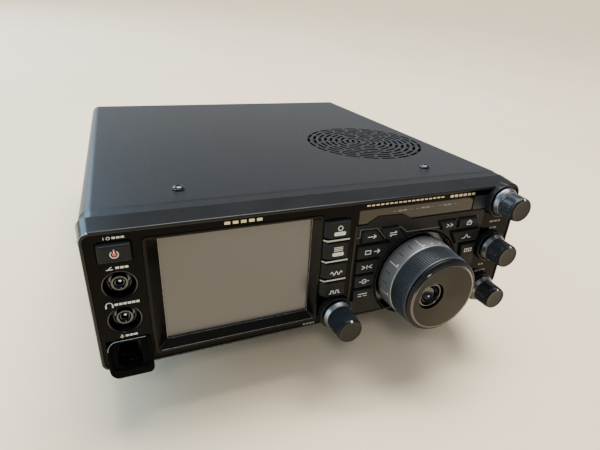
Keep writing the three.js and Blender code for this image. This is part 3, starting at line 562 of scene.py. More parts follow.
# Painted reflection: the same, tinted blue for the window light, on the frame's left corner and the microphone
# hood's top.
BLUE_EDGE_REFLECTION = metal("painted_blue_edge_reflection", (0.18, 0.25, 0.32), (0.26, 0.34, 0.42), (0.2, 0.3), (1, 1, 1), 0.6)
DARK_BUSH = metal("dark_bushing", (0.07, 0.075, 0.08), (0.11, 0.115, 0.12), (0.14, 0.24), (1, 1, 1), 0.4)
BEZEL = glossy("display_bezel_gloss", (0.0030, 0.0028, 0.0025), (0.0055, 0.0052, 0.0046), (0.14, 0.22),
               specular=0.11)
# Painted highlight: bright metal for thin bars and tubes that stand for light caught along the display funnel,
# the mic socket's mouth and the power key's opening.
HIGHLIGHT_BEAD = metal("painted_highlight_bead", (0.20, 0.20, 0.20), (0.28, 0.28, 0.275), (0.24, 0.34), (1, 1, 1), 0.6)


# ---- Casing ----
SPEAKER = SimpleNamespace(x=63.7, y=94.0)
SHEET = 1.5
KNOBS = {node: span(node) for node in ("multi_knob", "volume_knob", "squelch_knob", "clarifier_knob")}
BOSS_RADIUS = 9.4
DIAL_RING, DIAL_OPENING = 26.7, 25.6


def grille_cutter(top):
    """Rings of arc slots, each ring turned against the last so that its bridges are staggered."""
    slots = Form()
    pitch, width = 3.9, 1.9
    for ring in range(10):
        radius = 3.6 + ring * pitch
        count = 3 + ring * 2
        bridge = 2.1 / radius
        reach = 2 * math.pi / count - bridge
        steps = max(4, round(reach / 0.1))
        for i in range(count):
            start = 2 * math.pi * (i + (ring % 2) / 2) / count + 0.35 * ring
            outline = []
            for side in (1, -1):
                for k in range(steps + 1):
                    turn = start + reach * (k if side > 0 else steps - k) / steps
                    size = radius + side * width / 2
                    outline.append((SPEAKER.x + size * math.cos(turn), SPEAKER.y + size * math.sin(turn)))
            slots.loft([[(x, y, z) for x, y in outline] for z in (top - 3, top + 2)])
    return slots


def shell_section(half, seam, edge, radius, drop, y):
    """The bent sheet's closed section at one depth; drop pulls its outside in."""
    up = 1 if edge > seam else -1

    def bend(h, z, r):
        right_arc = circle(h - r, z - up * r, r, 8, 0, 90 * up)
        left_arc = [(-x, zz) for x, zz in reversed(right_arc)]
        return [(h, seam)] + right_arc + left_arc + [(-h, seam)]

    outer = bend(half - drop, edge - up * drop, radius)
    inner = bend(half - SHEET, edge - up * SHEET, radius - SHEET)
    return placed(outer + inner[::-1], y)


def covers():
    top = span("top_cover")
    # The front lip of the sheet is pressed down a little, which leaves a faint crease behind it.
    lip = 7.5
    rings = [shell_section(top.x1, top.z0, top.z1, 6, drop, y) for drop, y in (
        (0.55, top.y0), (0.36, top.y0 + 0.25), (0.30, top.y0 + lip - 1), (0.0, top.y0 + lip), (0.0, top.y1),
    )]
    holes = Form()
    for node in ("cover_screw_left", "cover_screw_right"):
        screw = span(node)
        holes.join(Form().lathe([(1.8, 0), (1.8, 8)], 24).turn(-90, "X")
                   .shift(screw.x, (screw.y0 + screw.y1) / 2, top.z1 + 3))
    make("top_cover_shell", Form().loft(rings), COVER, node="top_cover",
         minus=[grille_cutter(top.z1), holes], bevel=0.12, segments=1)

    low = span("bottom_cover")
    rings = [shell_section(low.x1, low.z1, low.z0, 4.5, drop, y) for drop, y in (
        (0.3, low.y0), (0.0, low.y0 + 0.4), (0.0, low.y1),
    )]
    vents = Form()
    for i in range(9):
        x = (i - 4) * 9
        outline = fillet([(x - 1.5, 120), (x + 1.5, 120), (x + 1.5, 165), (x - 1.5, 165)], 1.4)
        vents.loft([[(a, b, z) for a, b in outline] for z in (-1, 3)])
    make("bottom_cover_shell", Form().loft(rings), COVER, node="bottom_cover", minus=[vents],
         bevel=0.12, segments=1)


def cover_screws():
    """Pan heads with a cross recess."""
    for node in ("cover_screw_left", "cover_screw_right"):
        box = span(node)
        y = (box.y0 + box.y1) / 2
        head = box.z1 - 1.7
        profile = [(0, head + 1.7), (1.2, head + 1.62), (2.2, head + 1.25), (2.75, head + 0.6),
                   (2.9, head + 0.1), (2.8, head), (1.4, head), (1.4, box.z0), (0, box.z0)]
        body = Form().lathe([(r, -z) for r, z in profile], 40).turn(-90, "X").shift(box.x, y)
        cross = [Form().box(-1.75, 1.75, -0.36, 0.36, head + 0.6, head + 3)
                 .turn(angle, "Z").shift(box.x, y) for angle in (40, 130)]
        make(node + "_head", body, SCREW, node=node, minus=cross, bevel=0.08)


def front_frame():
    depth = 12.0
    face = rect(-113.2, 113.2, 0.9, 70.1)
    back = rect(-114.5, 114.5, 0, 71.4)
    front_radii, back_radii = [4, 7, 7, 4], [4.5, 8, 8, 4.5]
    rings = []
    for outline, corners, steps in ((face, front_radii, rounded_profile(0, 0.9, 4)),
                                    (back, back_radii, ((0, depth - 0.3), (0.3, depth)))):
        for inset, y in steps:
            rings.append(placed(fillet(offset(outline, -inset), [r - inset for r in corners], 8), y))
    shell = Form().loft(rings)
    low_knob = KNOBS["clarifier_knob"]
    lobe = Form().lathe([(9.4, 3.6), (9.8, 4.0), (10.2, depth)], 64, axis_of(low_knob))
    ring_face = -0.2
    ring = Form().lathe([
        (DIAL_RING - 1.0, ring_face), (DIAL_RING - 0.6, ring_face + 0.12), (DIAL_RING - 0.4, ring_face + 0.5),
        (DIAL_RING, depth),
    ], 128, (DIAL_X, DIAL_Z))
    cavity = Form().slab(rect(-111.8, 111.8, 2.2, 68.7), [3, 5.6, 5.6, 3], -1, depth + 1, 0.01)
    lobe_bore = Form().lathe([(8.4, -1), (8.4, depth + 1)], 48, axis_of(low_knob))
    bosses = [Form().lathe([(BOSS_RADIUS + 0.2, -2), (BOSS_RADIUS + 0.2, 3.6)], 64, axis_of(knob))
              for knob in KNOBS.values()]
    mic = span("mic_bezel")
    notch = Form().slab(around(mic, 0.15), [4.15, 2.3, 2.3, 4.15], -2, 3.6, 0.01, steps=8)
    opening = Form().lathe([
        (DIAL_OPENING + 0.35, -2), (DIAL_OPENING + 0.35, ring_face), (DIAL_OPENING, ring_face + 0.35),
        (DIAL_OPENING, depth + 2),
    ], 128, (DIAL_X, DIAL_Z))
    make("front_frame_moulding", shell, FRAME, node="front_frame", plus=[lobe],
         minus=[cavity, lobe_bore, notch] + bosses, bevel=0.15)
    # The ring round the dial is the same moulding, set through the frame's cavity.
    make("front_frame_dial_ring", ring, FRAME, minus=[opening], bevel=0.1)
    # Thin bright beads stand for the light that the frame's edge catches.
    edge = [(x, z) for x, z in fillet(offset(face, -0.16), [3.84, 6.84, 6.84, 3.84], 8) if z > 60]
    edge.sort(key=lambda point: math.atan2(point[1] - 60, -point[0]))
    for name, keep, paint in (("top", lambda x, z: z > 69 and x < 96, EDGE_HIGHLIGHT),
                              ("corner", lambda x, z: x < -106, BLUE_EDGE_REFLECTION)):
        path = placed([point for point in edge if keep(*point)], 0.0)
        make(f"front_frame_{name}_edge", Form().tube(path, 0.34, 8), paint)


# ---- Face ----
PANEL_KEYS = ["copy_key", "swap_key", "recall_key", "tune_key", "spot_key", "split_key", "fast_key",
              "lock_key", "clarifier_key", "memory_key"]
COLUMN_KEYS = ["function_key", "menu_key", "band_key", "mode_key"]
FASCIA_FRONT = 0.5
KEY_EASE = 0.4  # how far behind a key's face its full outline begins


def key_opening(node):
    outline = ring_at(node, FASCIA_FRONT)
    return Form().slab(offset(outline, 0.28), 0.9, -2, 6, 0.01)


def front_fascia():
    box = span("front_fascia")
    screen = span("display_bezel")
    panel = span("control_panel")
    lamps = span("indicator_window")
    mic = span("mic_bezel")
    face = Form().slab(rect(-111.75, 111.75, 2.25, 68.65), [2.9, 5.5, 5.5, 2.9], FASCIA_FRONT, box.y1, 0.15)
    holes = [Form().slab(around(screen, 0.2), 2.2, -2, 6, 0.01),
             Form().box(panel.x0 - 0.3, panel.x1 + 0.3, -2, 6, -3, panel.z1 + 0.3),
             Form().box(lamps.x0 - 0.1, lamps.x1 + 0.1, -2, 6, lamps.z0 - 0.6, lamps.z1 + 0.1),
             Form().slab(rect(mic.x0 - 0.15, mic.x1 + 0.15, -2, mic.z1 + 0.15), [0.1, 2.3, 2.3, 0.1],
                         -2, 6, 0.01)]
    for node in ("key_jack", "phones_jack"):
        jack = span(node)
        cone = [(7.0, -1), (7.0, 0.62), (6.8, 0.86), (6.5, 1.0), (6.3, 1.02), (4.5, 4.0), (4.4, 6)]
        holes.append(Form().lathe(cone, 72, axis_of(jack)))
    for knob in KNOBS.values():
        holes.append(Form().lathe([(7.5, -2), (7.5, 6)], 48, axis_of(knob)))
    for node in COLUMN_KEYS + ["power_button"]:
        holes.append(key_opening(node))
    make("front_fascia_plate", face, FASCIA, node="front_fascia", minus=holes, bevel=0.2, segments=3)


def knob_bosses():
    """The turned collars that the small knobs sit in: two eased edges round a dark groove."""
    for node, knob in KNOBS.items():
        front = -3.0
        profile = [(3.7, -1.0), (8.42, -1.0), (8.42, front + 0.45), (8.48, front + 0.2), (8.62, front + 0.05),
                   (8.78, front), (9.0, front + 0.02), (9.22, front + 0.14), (9.34, front + 0.4),
                   (BOSS_RADIUS, 1.2), (BOSS_RADIUS, 3.3), (3.7, 3.3)]
        make(node.replace("_knob", "_collar"), Form().lathe(profile, 72, axis_of(knob), looped=True), FRAME)


def column_trims():
    """Silver bars between the keys of the left column, folded back along their slanted sides."""
    keys = [span(node) for node in COLUMN_KEYS]
    for i in range(3):
        z = (keys[i].z0 + keys[i + 1].z1) / 2
        front = -1.8
        path = [(-9.3, 0.2), (-7.9, front + 0.05), (-7.5, front), (4.2, front), (4.3, front + 0.2),
                (4.3, 0.9), (-9.3, 0.9)]
        rings = []
        for rise, ease in ((-0.36, 0.08), (-0.45, 0.0), (0.45, 0.0), (0.36, 0.08)):
            rings.append([(x, y + (ease if y < 0.5 else 0), z + rise) for x, y in path])
        make(f"column_trim_{i + 1}", Form().loft(rings), SILVER, bevel=0.06)


def control_panel():
    box = span("control_panel")
    top = FASCIA_FRONT - 0.35
    plate = Form().slab(around(box), [1.5, 1.5, 1.0, 1.2], top, box.y1, 0.3)
    holes = [Form().lathe([(DIAL_RING + 0.25, -2), (DIAL_RING + 0.25, 6)], 128, (DIAL_X, DIAL_Z))]
    for knob in KNOBS.values():
        holes.append(Form().lathe([(BOSS_RADIUS + 0.2, -4), (BOSS_RADIUS + 0.2, 6)], 64, axis_of(knob)))
    for node in PANEL_KEYS:
        holes.append(key_opening(node))
    make("control_panel_plate", plate, PANEL, node="control_panel", minus=holes, bevel=0.14)
    # A tab of the panel stands up into the lamp strip.
    tab = Form().slab([(13.4, 56.6), (42.2, 56.6), (35.3, 60.3), (20.9, 60.8)], 0.5, top + 0.05, 1.6, 0.2)
    make("control_panel_tab", tab, PANEL)
    ridge = Form().slab(rect(7.9, 9.0, 11.5, 57.2), 0.4, 0.12, 1.2, 0.25)
    make("control_panel_ridge", ridge, RIDGE)
    facet = Form().loft([[(80.8, front, z), (90.2, front, z), (90.2, 1.5, z), (80.8, 1.5, z)]
                         for front, z in ((0.15, 57.4), (0.42, 65.4))])
    make("control_panel_shoulder", facet, NAVY, bevel=0.2)
    # Thin printed lines tie the copy, swap, fast and lock keys together.
    lines = Form()
    for path in ([(9.6, 50.1), (11.0, 50.1), (11.0, 54.5), (20.7, 54.2), (26.6, 47.4)],
                 [(21.9, 54.1), (35.0, 53.1), (39.0, 49.8), (60.6, 49.6)], [(61.3, 52.6), (86.2, 52.8)]):
        lines.strip(path, 0.3, top - 0.04, top + 0.1)
    make("panel_lines", lines, DIM_INK)


def middle(corners):
    return tuple(sum(corner[i] for corner in corners) / len(corners) for i in (0, 1))


def key_caps():
    for node in COLUMN_KEYS + PANEL_KEYS + ["power_button"]:
        box = span(node)
        face = ring_at(node, box.y0 + KEY_EASE)
        base = ring_at(node, FASCIA_FRONT)
        radii = [0.7] * 4
        if node == "mode_key":
            radii[0] = 2.6
        rings = []
        for inset, y in ((0.85, 0.0), (0.5, 0.03), (0.22, 0.14), (0.06, 0.32), (0.0, 0.55)):
            radii_here = [max(r - inset, 0.1) for r in radii]
            rings.append(placed(fillet(offset(face, -inset), radii_here), box.y0 + y))
        for y in (FASCIA_FRONT, 6.0):
            rings.append(placed(fillet(base, [r + 0.3 for r in radii]), y))
        stem = Form().lathe([(1.4, 5.5), (1.4, box.y1)], 24, middle(face))
        make(node + "_cap", Form().loft(rings), KEY, body=node, node=node, plus=[stem])


def wave(width, height, turns):
    steps = 36
    return [(width * (k / steps - 0.5), height / 2 * math.sin(2 * math.pi * turns * k / steps))
            for k in range(steps + 1)]


def ring_line(radius, start=0.0, sweep=360.0, cx=0.0, cz=0.0):
    return circle(cx, cz, radius, 28, start, sweep)


# Generic symbols for the keys: lines as (points, closed), in millimetres about the mark's centre.
SYMBOLS = {
    "function_key": [(ring_line(1.15), True)],
    "menu_key": [([(-2.4, z), (2.4, z)], False) for z in (-0.9, 0.0, 0.9)],
    "band_key": [(wave(6.4, 1.9, 2.5), False)],
    "mode_key": [([(-3.2, -0.8), (-2.1, -0.8), (-2.1, 0.8), (-0.7, 0.8), (-0.7, -0.8), (0.7, -0.8), (0.7, 0.8),
                   (2.1, 0.8), (2.1, -0.8), (3.2, -0.8)], False)],
    "copy_key": [([(-2.4, 0), (2.2, 0)], False), ([(1.0, 1.1), (2.3, 0), (1.0, -1.1)], False)],
    "swap_key": [([(-2.2, 0.6), (2.0, 0.6)], False), ([(1.0, 1.4), (2.1, 0.6)], False),
                 ([(2.2, -0.6), (-2.0, -0.6)], False), ([(-1.0, -1.4), (-2.1, -0.6)], False)],
    "recall_key": [([(-4.4, -1.0), (-1.4, -1.0), (-1.4, 1.0), (-4.4, 1.0)], True),
                   ([(0.6, 0), (3.8, 0)], False), ([(2.6, 1.2), (4.0, 0), (2.6, -1.2)], False)],
    "tune_key": [([(-3.0, 1.0), (-1.2, 0), (-3.0, -1.0)], False), ([(0, 1.2), (0, -1.2)], False),
                 ([(3.0, 1.0), (1.2, 0), (3.0, -1.0)], False)],
    "spot_key": [(ring_line(1.25), True), ([(-0.3, 0), (0.3, 0)], False), ([(-3.0, 0), (-1.9, 0)], False),
                 ([(1.9, 0), (3.0, 0)], False)],
    "split_key": [([(-2.8, 0.7), (2.6, 0.7)], False), ([(-2.8, -0.7), (-0.6, -0.7)], False),
                  ([(0.6, -0.7), (2.6, -0.7)], False)],
    "fast_key": [([(-2.0, 1.0), (-0.4, 0), (-2.0, -1.0)], False), ([(0.4, 1.0), (2.0, 0), (0.4, -1.0)], False)],
    "lock_key": [([(-1.5, -1.2), (1.5, -1.2), (1.5, 0.3), (-1.5, 0.3)], True),
                 (ring_line(0.9, 0, 180, 0, 0.4), False)],
    "clarifier_key": [([(-3.0, -0.9), (-1.2, -0.8), (0, 1.1), (1.2, -0.8), (3.0, -0.9)], False)],
    "memory_key": [([(-2.4, -0.9), (-0.5, -0.9), (-0.5, 0.9), (-2.4, 0.9)], True),
                   ([(0.5, -0.9), (2.4, -0.9), (2.4, 0.9), (0.5, 0.9)], True)],
}
MARK_RAISE, MARK_SINK = 0.05, 0.15  # how far a mark stands out of its key and reaches into it


def key_marks():
    for node, lines in SYMBOLS.items():
        box = span(node)
        x, z = middle(ring_at(node, box.y0 + KEY_EASE))
        if node in ("band_key", "mode_key"):
            z -= 1.4
        if node in ("function_key", "menu_key"):
            z += 1.1
        form = Form()
        for points, closed in lines:
            path = [(x + u, z + v) for u, v in points]
            form.strip(path, 0.4, box.y0 - MARK_RAISE, box.y0 + MARK_SINK, closed)
        if node in ("function_key", "menu_key"):
            pill = rect(x - 3.1, x + 3.1, z - 3.9, z - 1.9)
            form.slab(pill, 0.8, box.y0 - MARK_RAISE, box.y0 + MARK_SINK, 0.02)
        make(node + "_mark", form, INK, body=node)

    box = span("power_button")
    form = Form()
    y, foot = box.y0 - MARK_RAISE, box.y0 + MARK_SINK
    form.strip([(box.x + u, box.z - 0.1 + v) for u, v in ring_line(1.5, 125, 290)], 0.36, y, foot)
    form.strip([(box.x, box.z + 0.3), (box.x, box.z + 2.1)], 0.42, y, foot)
    make("power_button_mark", form, INK, body="power_button")
    glow = Form().lathe([(0, y + 0.02), (0.65, y + 0.02), (0.8, y + 0.05), (0.8, foot), (0, foot)],
                        32, (box.x, box.z - 0.1))
    make("power_button_lamp", glow, LAMP, body="power_button")


def fascia_marks():
    """Small generic signs and dashes beside the sockets and knobs, and blank plates along the top."""
    top, bottom = FASCIA_FRONT - 0.04, FASCIA_FRONT + 0.1
    bright, dim = Form(), Form()

    def sign(form, x, z, lines, width=0.36):
        for points, closed in lines:
            form.strip([(x + u, z + v) for u, v in points], width, top, bottom, looped=closed)

    def dashes(form, x, z, lengths, height=1.1, gap=0.5):
        for length in lengths:
            sign(form, x, z, [([(0, 0), (length, 0)], False)], height)
            x += length + gap

    power, key, phones, mic = (span(n) for n in ("power_button", "key_jack", "phones_jack", "mic_bezel"))
    # A thin bright tube along the lower edge of the power key's opening: a painted highlight for the light that
    # edge catches.
    edge = [(x, top, power.z0 - 0.35) for x in (power.x0 + 0.6, power.x1 - 0.6)]
    make("power_opening_edge", Form().tube(edge, 0.12, 6), HIGHLIGHT_BEAD)
    z = power.z1 + 1.8
    sign(bright, power.x - 3.2, z, [([(0, -0.6), (0, 0.6)], False), (ring_line(0.6, cx=1.7), True)], 0.26)
    dashes(bright, power.x - 0.2, z, (1.3, 1.3, 1.3), 0.9, 0.35)
    z = key.z + 8.5
    angle_sign = [([(-1.4, -0.6), (1.2, -0.6)], False), ([(-0.8, -0.6), (0.8, 0.7)], False)]
    sign(bright, key.x - 2.8, z, angle_sign, 0.32)
    dashes(bright, key.x - 0.6, z, (1.4, 1.4, 1.4), 1.0, 0.35)
    z = phones.z + 8.4
    sign(bright, phones.x - 5.2, z, [(ring_line(1.3, 0, 180), False)], 0.3)
    for side in (-1.3, 1.3):
        sign(bright, phones.x - 5.2 + side, z - 0.5, [([(0, -0.8), (0, 0.6)], False)], 0.6)
    dashes(bright, phones.x - 3.1, z, (1.35,) * 6, 1.05, 0.35)
    z = mic.z1 + 1.8
    sign(bright, mic.x - 2.4, z, [([(0, -0.2), (0, 0.8)], False)], 0.6)
    sign(bright, mic.x - 2.4, z, [(ring_line(0.7, 180, 180), False), ([(0, -0.7), (0, -1.0)], False)], 0.2)
    dashes(bright, mic.x - 1.0, z, (1.4, 1.4, 1.4), 0.95, 0.35)
    dashes(dim, -17.0, 2.9, (1.5, 1.3, 1.3, 0.9), 1.0, 0.5)
    for x, z, lengths in ((96.4, 48.0, (2.6, 2.2, 1.8)), (97.6, 43.7, (1.8, 2.6)), (96.4, 19.4, (1.8, 1.4)),
                          (95.0, 15.0, (2.6, 1.8, 2.2))):
        dashes(dim, x, z, lengths, 1.2, 0.6)
    make("fascia_signs", bright, INK)
    make("fascia_dashes", dim, DIM_INK)

    lamps = span("indicator_window")
    marks = Form()
    y = lamps.y0
    for x in (34.6, 48.6, 62.8):
        for start, end, width in ((-6.0, -3.6, 0.22), (3.6, 6.0, 0.22), (-2.6, -0.3, 0.9), (0.3, 2.6, 0.9)):
            marks.strip([(x + start, 62.3), (x + end, 62.3)], width, y - 0.04, y + 0.1)
    make("lamp_marks", marks, DIM_INK)

    plates = Form()
    rows = ((-56.8, 5, 3.6, 2.5, 66.3, 67.7), (13.0, 18, 2.62, 1.9, 66.7, 67.5),
            (63.6, 6, 2.9, 2.1, 66.2, 67.6))
    for start, count, pitch, length, low, high in rows:
        for i in range(count):
            x = start + i * pitch
            plates.slab(rect(x, x + length, low, high), 0.25, FASCIA_FRONT - 0.08, FASCIA_FRONT + 0.2, 0.05)
    make("blank_nameplates", plates, GILT)


def display():
    box = span("display_bezel")
    glass = span("display_window")
    foot = rect(box.x0 + 6.4, box.x1 - 4.3, box.z0 + 4.3, box.z1 - 2.9)
    mouth = rect(box.x0 + 1.3, box.x1 - 1.1, box.z0 + 1.3, box.z1 - 1.1)
    funnel = [placed(fillet(outline, radius, 6), y) for outline, radius, y in (
        (offset(mouth, 0.2), 1.7, box.y0 - 1), (mouth, 1.5, box.y0), (foot, 0.8, box.y1 - 0.35),
        (offset(foot, -0.01), 0.8, box.y1 + 1),
    )]
    outer = Form().slab(around(box), 2.0, box.y0, box.y1, 0.3)
    make("display_bezel_frame", outer, BEZEL, node="display_bezel", minus=[Form().loft(funnel)], bevel=0.2,
         segments=3)
    plate = Form().slab(around(glass), 0.6, glass.y0, glass.y1, 0.1)
    make("display_touch_glass", plate, GLASS, node="display_window")
    # Thin beads of painted highlight, standing for light caught on the edges, round the funnel's foot, along
    # its lower lip and up its lower right corner.
    thin = 0.13
    highlight_lines = Form().tube(placed(fillet(offset(foot, 0.2), 1.0, 4), box.y1 - 0.5), thin, 6, looped=True)
    low, right = mouth[0][1] + 0.1, mouth[1][0]
    highlight_lines.tube([(mouth[0][0] + 1.6, box.y0 + 0.12, low), (right - 1.4, box.y0 + 0.12, low)], thin, 6)
    corner_foot = (foot[1][0] + 0.1, box.y1 - 0.6, foot[1][1] - 0.1)
    highlight_lines.tube([(right - 0.3, box.y0 + 0.3, low + 0.6), corner_foot], thin, 6)
    make("display_bead", highlight_lines, HIGHLIGHT_BEAD)


def indicator_window():
    box = span("indicator_window")
    strip = Form().slab(around(box), 0.3, box.y0, box.y1, 0.15)
    make("indicator_window_strip", strip, SMOKED, node="indicator_window")


def microphone():
    """A hood that leans out towards its foot, with a sunken tray round the socket."""
    box = span("mic_bezel")
    outline = around(box)
    reach, height = 6.0, box.z1 - box.z0
    lean = math.degrees(math.atan2(reach, height))
    block = Form().slab(outline, [4, 2.2, 2.2, 4], -12, box.y1, 0.01, steps=8)
    above = Form().box(box.x0 - 9, box.x1 + 9, -40, 0, -60, 60).turn(-lean, "X").shift(z=box.z1)
    tray_outline = rect(box.x0 + 1.3, box.x1 - 1.3, 2.2 - height, -1.2)
    tray = Form().slab(tray_outline, [2.8, 1.6, 1.6, 2.8], -30, 1.3, 0.01, steps=8)
    tray.turn(-lean, "X").shift(z=box.z1)
    x, z = box.x0 + 6.6, box.z0 + 3.2
    mouth = Form().box(x, x + 7.3, -20, 8, z, z + 11.4)
    notch = Form().box(x - 2.7, x + 0.5, -20, 8, z + 1.6, z + 9.2)
    latch = Form().box(x - 1.4, x + 0.5, -20, 8, z + 0.7, z + 10.2)
    make("mic_bezel_hood", block, HOOD, node="mic_bezel", minus=[above, tray, mouth, notch, latch],
         bevel=0.4, segments=4)

    socket = span("mic_socket")
    body = Form().box(socket.x0, socket.x1, socket.y0, socket.y1, socket.z0, socket.z1)
    wells = [Form().box(x + 0.4, x + 6.9, 1, 10.8, z + 0.3, z + 11.1),
             Form().box(x - 2.4, x + 0.5, 1, 10.8, z + 1.9, z + 8.9)]
    make("mic_socket_body", body, SOCKET, node="mic_socket", minus=wells, bevel=0.15)
    contacts = Form()
    spring = ((6.3, 3.9), (5.7, 4.4), (3.3, 9.6), (3.1, 10.9))
    for i in range(8):
        level = z + 1.8 + i * 1.02
        contacts.tube([(x + side, y, level) for side, y in spring], 0.2, 8)
    make("mic_socket_contacts", contacts, GOLD)
    keel = Form().box(x + 6.3, x + 6.9, socket.y0 + 0.2, 11, z + 0.3, z + 11.1)
    make("mic_socket_keel", keel, SOCKET, bevel=0.08)
    # A bright bar along the lower edge of the mic socket's mouth: a painted highlight for the light that edge
    # catches.
    sill_highlight = Form().box(x + 0.3, x + 6.4, 0.9, 1.3, z - 0.02, z + 0.22)
    make("mic_bezel_sill", sill_highlight, HIGHLIGHT_BEAD, bevel=0.06)
    # A blue-tinted tube along the hood's top edge and round its left corner: a painted reflection of the window
    # light on that edge.
    crown_highlight = [(px, pz) for px, pz in fillet(offset(outline, -0.25), [3.8, 2, 2, 3.8], 8)
             if pz > box.z1 - 4.2 and px < box.x1 - 2]
    crown_highlight.sort(key=lambda point: point[0] + point[1])
    path = [(px, (box.z1 - pz) / height * -reach + 0.12, pz) for px, pz in crown_highlight]
    make("mic_bezel_crown", Form().tube(path, 0.2, 8), BLUE_EDGE_REFLECTION)


def front_jacks():
    turned = {
        "ferrule": (CUP, 72, [(2.35, 10.5), (2.35, 2.75), (2.5, 2.5), (2.8, 2.32), (3.1, 2.22), (3.35, 2.26),
                              (3.48, 2.45), (3.5, 2.8), (3.5, 5.4), (4.2, 5.4), (4.2, 10.5)]),
        "bush": (DARK_BUSH, 72, [(1.55, 9.5), (1.55, 3.2), (1.65, 2.95), (1.85, 2.85), (2.05, 2.95), (2.3, 3.2),
                                 (2.3, 9.5)]),
        "contact": (NICKEL, 32, [(0, 9.5), (0, 4.1), (0.5, 4.1), (0.75, 4.25), (0.85, 4.6), (0.85, 9.5)]),
        "lip": (CUP, 96, [(6.55, 1.1), (6.55, 0.74), (6.62, 0.62), (6.75, 0.56), (6.88, 0.62), (6.95, 0.74),
                          (6.95, 1.1)]),
        "seat": (CUP, 96, [(4.35, 4.2), (4.35, 3.55), (4.42, 3.42), (4.55, 3.36), (4.68, 3.42), (4.75, 3.55),
                           (4.75, 4.2)]),
    }
    for node in ("key_jack", "phones_jack"):
        box = span(node)
        for part, (paint, sides, profile) in turned.items():
            solid = part == "contact"
            aside = 0.2 if solid else 0.0
            form = Form().lathe(profile, sides, (box.x + aside, box.z - aside), looped=not solid)
            make(f"{node}_{part}", form, paint, node=node if part == "ferrule" else None)
        shell = Form().box(box.x0, box.x1, 5.6, box.y1, box.z0, box.z1)
        core = Form().lathe([(4.4, 1), (4.4, 12)], 40, axis_of(box))
        make(node + "_body", shell, SOCKET, minus=[core], bevel=0.3)


# ---- Dial and knobs ----
def dial_piece(name, form, paint, **settings):
    make(name, form, paint, body="tuning_dial", origin=(DIAL_X, 0, DIAL_Z), **settings)


def tuning_dial():
    front = span("dial_hub").y0
    cup = span("finger_cup")
    centre = (DIAL_X, DIAL_Z)
    rim = [(18.3, -14), (18.3, front + 0.6), (19.4, front + 0.92), (20.7, front + 1.34), (21.0, front + 1.5),
           (21.15, front + 1.75), (21.2, front + 2.0), (21.2, front + 2.7), (20.0, front + 2.75), (20.0, -14)]
    dial_piece("dial_rim", Form().lathe(rim, 192, centre, looped=True), RIM)
    bevel = [(18.25, -13), (18.25, front + 0.12), (18.5, front + 0.16), (18.85, front + 0.36),
             (19.15, front + 0.66), (19.35, front + 0.98), (19.35, -13)]
    dial_piece("dial_cap_bevel", Form().lathe(bevel, 192, centre, looped=True), CUP)
    cap = [(0, front), (17.95, front), (18.12, front + 0.04), (18.22, front + 0.16), (18.22, -11), (0, -11)]
    pocket_radius = cup.x1 - cup.x + 0.2
    pocket = Form().lathe([(pocket_radius, front - 2), (pocket_radius, -13)], 72, axis_of(cup))
    dial_piece("dial_cap", Form().lathe(cap, 192, centre), CAP, minus=[pocket], bevel=0.12)
    skirt = [(0, -9.2), (21.5, -9.2), (21.9, -9.15), (22.25, -8.9), (22.42, -8.4), (22.97, 1.1), (22.9, 1.5),
             (3, 1.5), (3, 9), (0, 9)]
    dial_piece("dial_skirt", Form().lathe(skirt, 192, centre), SKIRT, node="dial_hub")

    profile = [(21.5, -9.25), (22.05, -9.35), (22.12, -9.6), (21.6, -18.9), (21.45, -19.1), (21.2, -19.2),
               (21.18, -19.4), (21.32, -19.55), (21.3, -20.5), (21.15, -20.85), (20.9, -21.0), (19.9, -21.0),
               (19.9, -9.3)]
    sleeve = Form().ribbed([(r, y, r > 21.42 and y > -19.15) for r, y in profile], 118, 0.55, centre)
    dial_piece("dial_grip_sleeve", sleeve, RIBBED, node="dial_grip", sharp=50)

    skirt_marks()
    finger_cup(cup)


def skirt_radius(y):
    """The skirt's radius where it is straight, between its front chamfer and its foot."""
    return 22.42 + (y + 8.4) / 9.5 * 0.55


def skirt_mark(form, angle, y0, y1, width, proud):
    """A narrow bar laid on the skirt at one angle."""
    turned = math.radians(angle)
    out = Vector((math.cos(turned), 0, math.sin(turned)))
    side = Vector((-math.sin(turned), 0, math.cos(turned))) * width / 2
    rings = []
    for y in (y0, y1):
        axis = Vector((DIAL_X, y, DIAL_Z))
        base = axis + out * (skirt_radius(y) - 0.15)
        top = axis + out * (skirt_radius(y) + proud)
        rings.append([base - side, top - side, top + side, base + side])
    form.loft(rings)


def dot(form, centre, out, side, along, size, sides, profile):
    """A round dot facing out, from (scale, rise) steps."""
    angles = [2 * math.pi * k / sides for k in range(sides)]
    form.loft([[centre + out * rise + size * scale * (side * math.cos(a) + along * math.sin(a)) for a in angles]
               for scale, rise in profile])


def skirt_dot(form, angle, y):
    """A round dot on the skirt at one angle."""
    turned = math.radians(angle)
    out = Vector((math.cos(turned), 0, math.sin(turned)))
    side = Vector((-math.sin(turned), 0, math.cos(turned)))
    centre = Vector((DIAL_X, y, DIAL_Z)) + out * skirt_radius(y)
    dot(form, centre, out, side, Vector((0, 1, 0)), 0.52, 16, ((1.0, -0.15), (1.0, 0.04), (0.6, 0.08)))


def skirt_marks():
    """Long light lines that end in dots, dark dashes between them, and a row of dots along one stretch."""
    dark, pale = Form(), Form()
    for i in range(8):
        angle = 103 + 45 * i
        skirt_mark(pale, angle, -8.0, -0.8, 0.4, 0.03)
        skirt_mark(dark, angle - 1.0, -8.0, -0.8, 0.26, 0.02)
        skirt_dot(pale, angle - 2.4, -7.0)
        for step in (14, 29):
            if i != 7:
                skirt_mark(dark, angle + step, -5.8, -2.0, 0.4, 0.02)
    for angle in (88, 74, 60):
        skirt_dot(pale, angle, -7.0)
    dial_piece("dial_engraving", dark, ENGRAVED)
    dial_piece("dial_marks", pale, INK)


